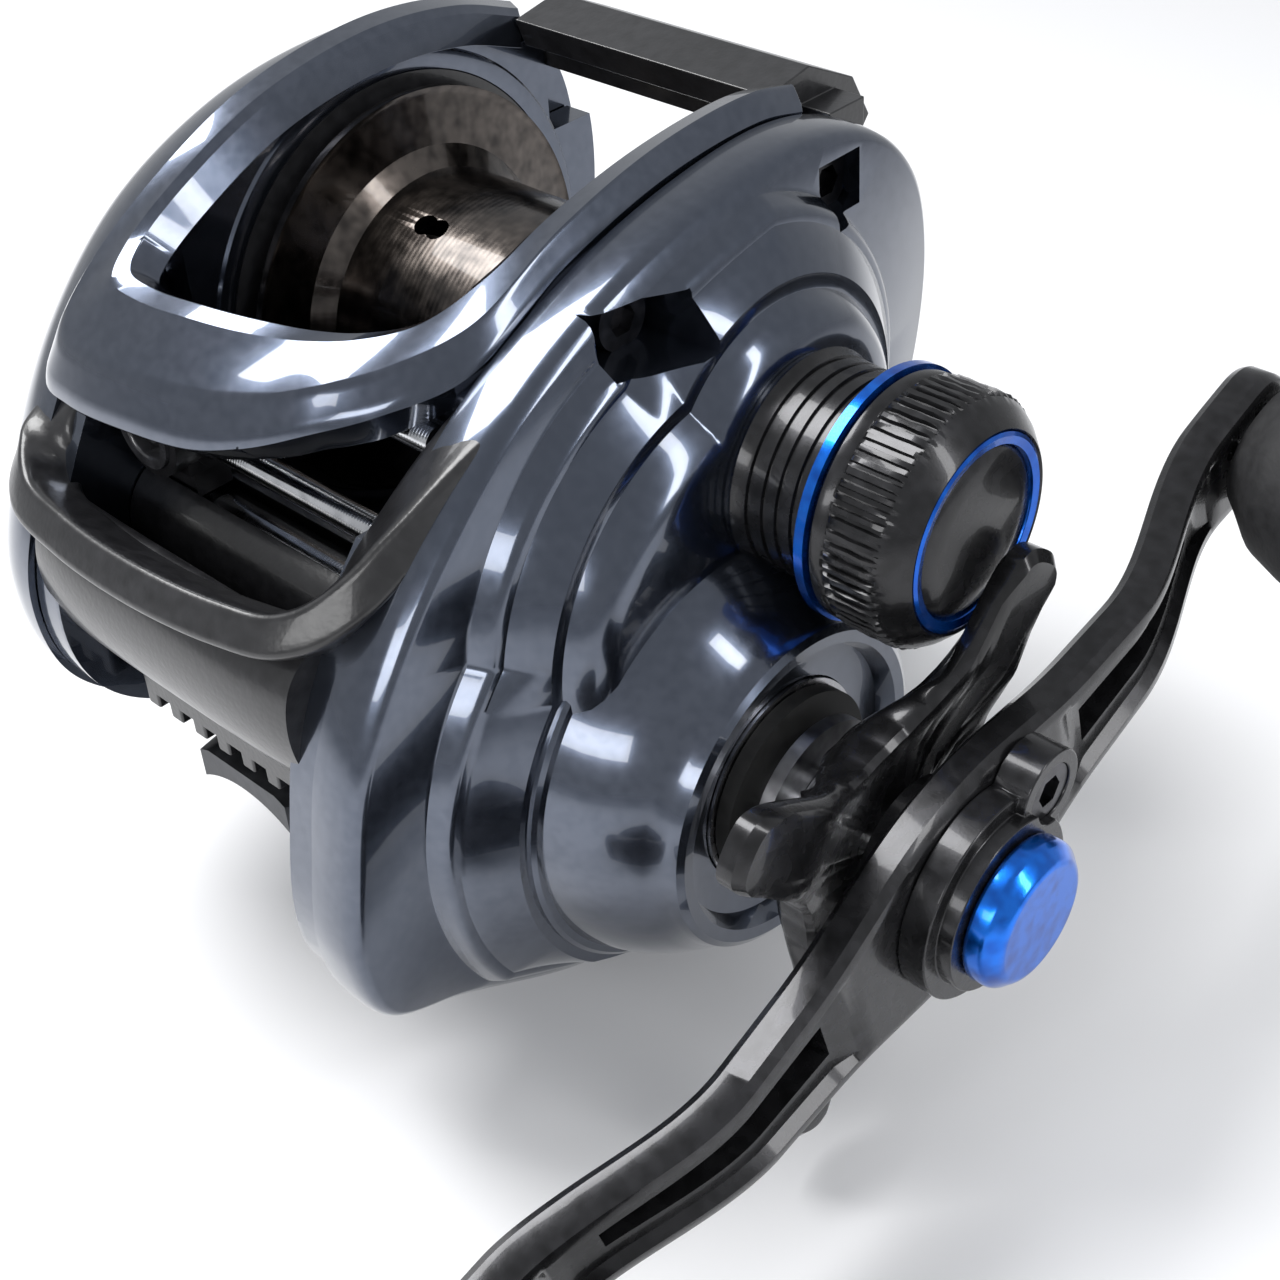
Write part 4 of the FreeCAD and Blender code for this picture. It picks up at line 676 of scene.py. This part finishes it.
# ---- stage -------------------------------------------------------------------------------------

CAMERA_PLACE = (94.66, -84.59, 69.23)
CAMERA_AZIMUTH, CAMERA_RISE, CAMERA_ROLL = 44.9, 38.25, -3.34
LENS, SENSOR = 54.49, 36.0
SHIFT = (-0.0024, 0.0144)
LAMP_AIM = (0, -5, -5)
FLOOR_REACH, FLOOR_GAP = 3.0, 0.0005
FLOOR_COLOUR = (0.9, 0.9, 0.91, 1)
SKY_COLOUR, SKY_STRENGTH = (0.95, 0.97, 1.0, 1), 0.55


def make_camera():
    """Looks towards the reel from its handle side, in front and above."""
    az, el, roll = (math.radians(a) for a in (CAMERA_AZIMUTH, CAMERA_RISE, CAMERA_ROLL))
    back = Vector((math.sin(az) * math.cos(el), -math.cos(az) * math.cos(el), math.sin(el)))
    right = Vector((math.cos(az), math.sin(az), 0))
    up = back.cross(right)
    across = right * math.cos(roll) + up * math.sin(roll)
    over = up * math.cos(roll) - right * math.sin(roll)
    lens = bpy.data.cameras.new("camera")
    lens.lens, lens.sensor_width = LENS, SENSOR
    lens.shift_x, lens.shift_y = SHIFT
    lens.clip_start = 0.005
    camera = bpy.data.objects.new("camera", lens)
    bpy.context.scene.collection.objects.link(camera)
    matrix = Matrix((across, over, back)).transposed().to_4x4()
    matrix.translation = Vector(place(CAMERA_PLACE))
    camera.matrix_world = matrix
    bpy.context.scene.camera = camera


def lamp(name, at, size, power):
    """A rectangular soft lamp, its place and size in millimetres, aimed at the middle of the reel."""
    light = bpy.data.lights.new(name, "AREA")
    light.shape, light.energy = "RECTANGLE", power
    light.size, light.size_y = size[0] * MM, size[1] * MM
    thing = bpy.data.objects.new(name, light)
    bpy.context.scene.collection.objects.link(thing)
    thing.location = place(at)
    thing.rotation_euler = (Vector(place(LAMP_AIM)) - thing.location).to_track_quat("-Z", "Y").to_euler()


def make_floor():
    """A plain pale floor just under the lowest point of the reel."""
    low = cad_box[0][2] - FLOOR_GAP
    corners = [(-FLOOR_REACH, -FLOOR_REACH, low), (FLOOR_REACH, -FLOOR_REACH, low),
               (FLOOR_REACH, FLOOR_REACH, low), (-FLOOR_REACH, FLOOR_REACH, low)]
    mesh = bpy.data.meshes.new("floor")
    mesh.from_pydata(corners, [], [(0, 1, 2, 3)])
    floor = bpy.data.objects.new("floor", mesh)
    bpy.context.scene.collection.objects.link(floor)
    paint = bpy.data.materials.new("pale_floor")
    paint.use_nodes = True
    shader = paint.node_tree.nodes["Principled BSDF"]
    shader.inputs["Base Color"].default_value = FLOOR_COLOUR
    shader.inputs["Roughness"].default_value = 0.7
    mesh.materials.append(paint)


def make_light():
    """A pale sky and three soft lamps."""
    world = bpy.data.worlds.new("sky")
    bpy.context.scene.world = world
    world.use_nodes = True
    background = world.node_tree.nodes["Background"]
    background.inputs["Color"].default_value = SKY_COLOUR
    background.inputs["Strength"].default_value = SKY_STRENGTH
    lamp("window", (-150, -60, 260), (160, 160), 1.1)
    lamp("front_fill", (60, -260, 90), (200, 60), 0.25)
    lamp("side_strip", (260, 40, 160), (40, 260), 0.35)
    bpy.context.scene.view_settings.view_transform = "Standard"


# ---- the reel ----------------------------------------------------------------------------------

UNDER_HOOD = ((-17.0, -36.0, 2.2), (17.0, -19.0, 40.0))
FRAME_EDGE = 0.25
EDGE_WIDTHS = {"thumb_bar": 0.5, "nut_cap": 0.3, "nut_retainer": 0.3, "line_guide_carriage": 0.25,
               "nose_grille": 0.2, "reel_foot": 0.3, "spool": 0.12, "worm_guard_tube": 0.2}

dress_packed_pieces()
make_handle_plate()
make_dome()
make_boss()
make_cast_cap()
make_hood()
make_guard()
make_palm_shell()
make_grips()
make_spool_ring()
make_crank()
make_star()
softened("frame", FRAME_EDGE, UNDER_HOOD)
for node, width in EDGE_WIDTHS.items():
    softened(node, width)
make_floor()
make_light()
make_camera()
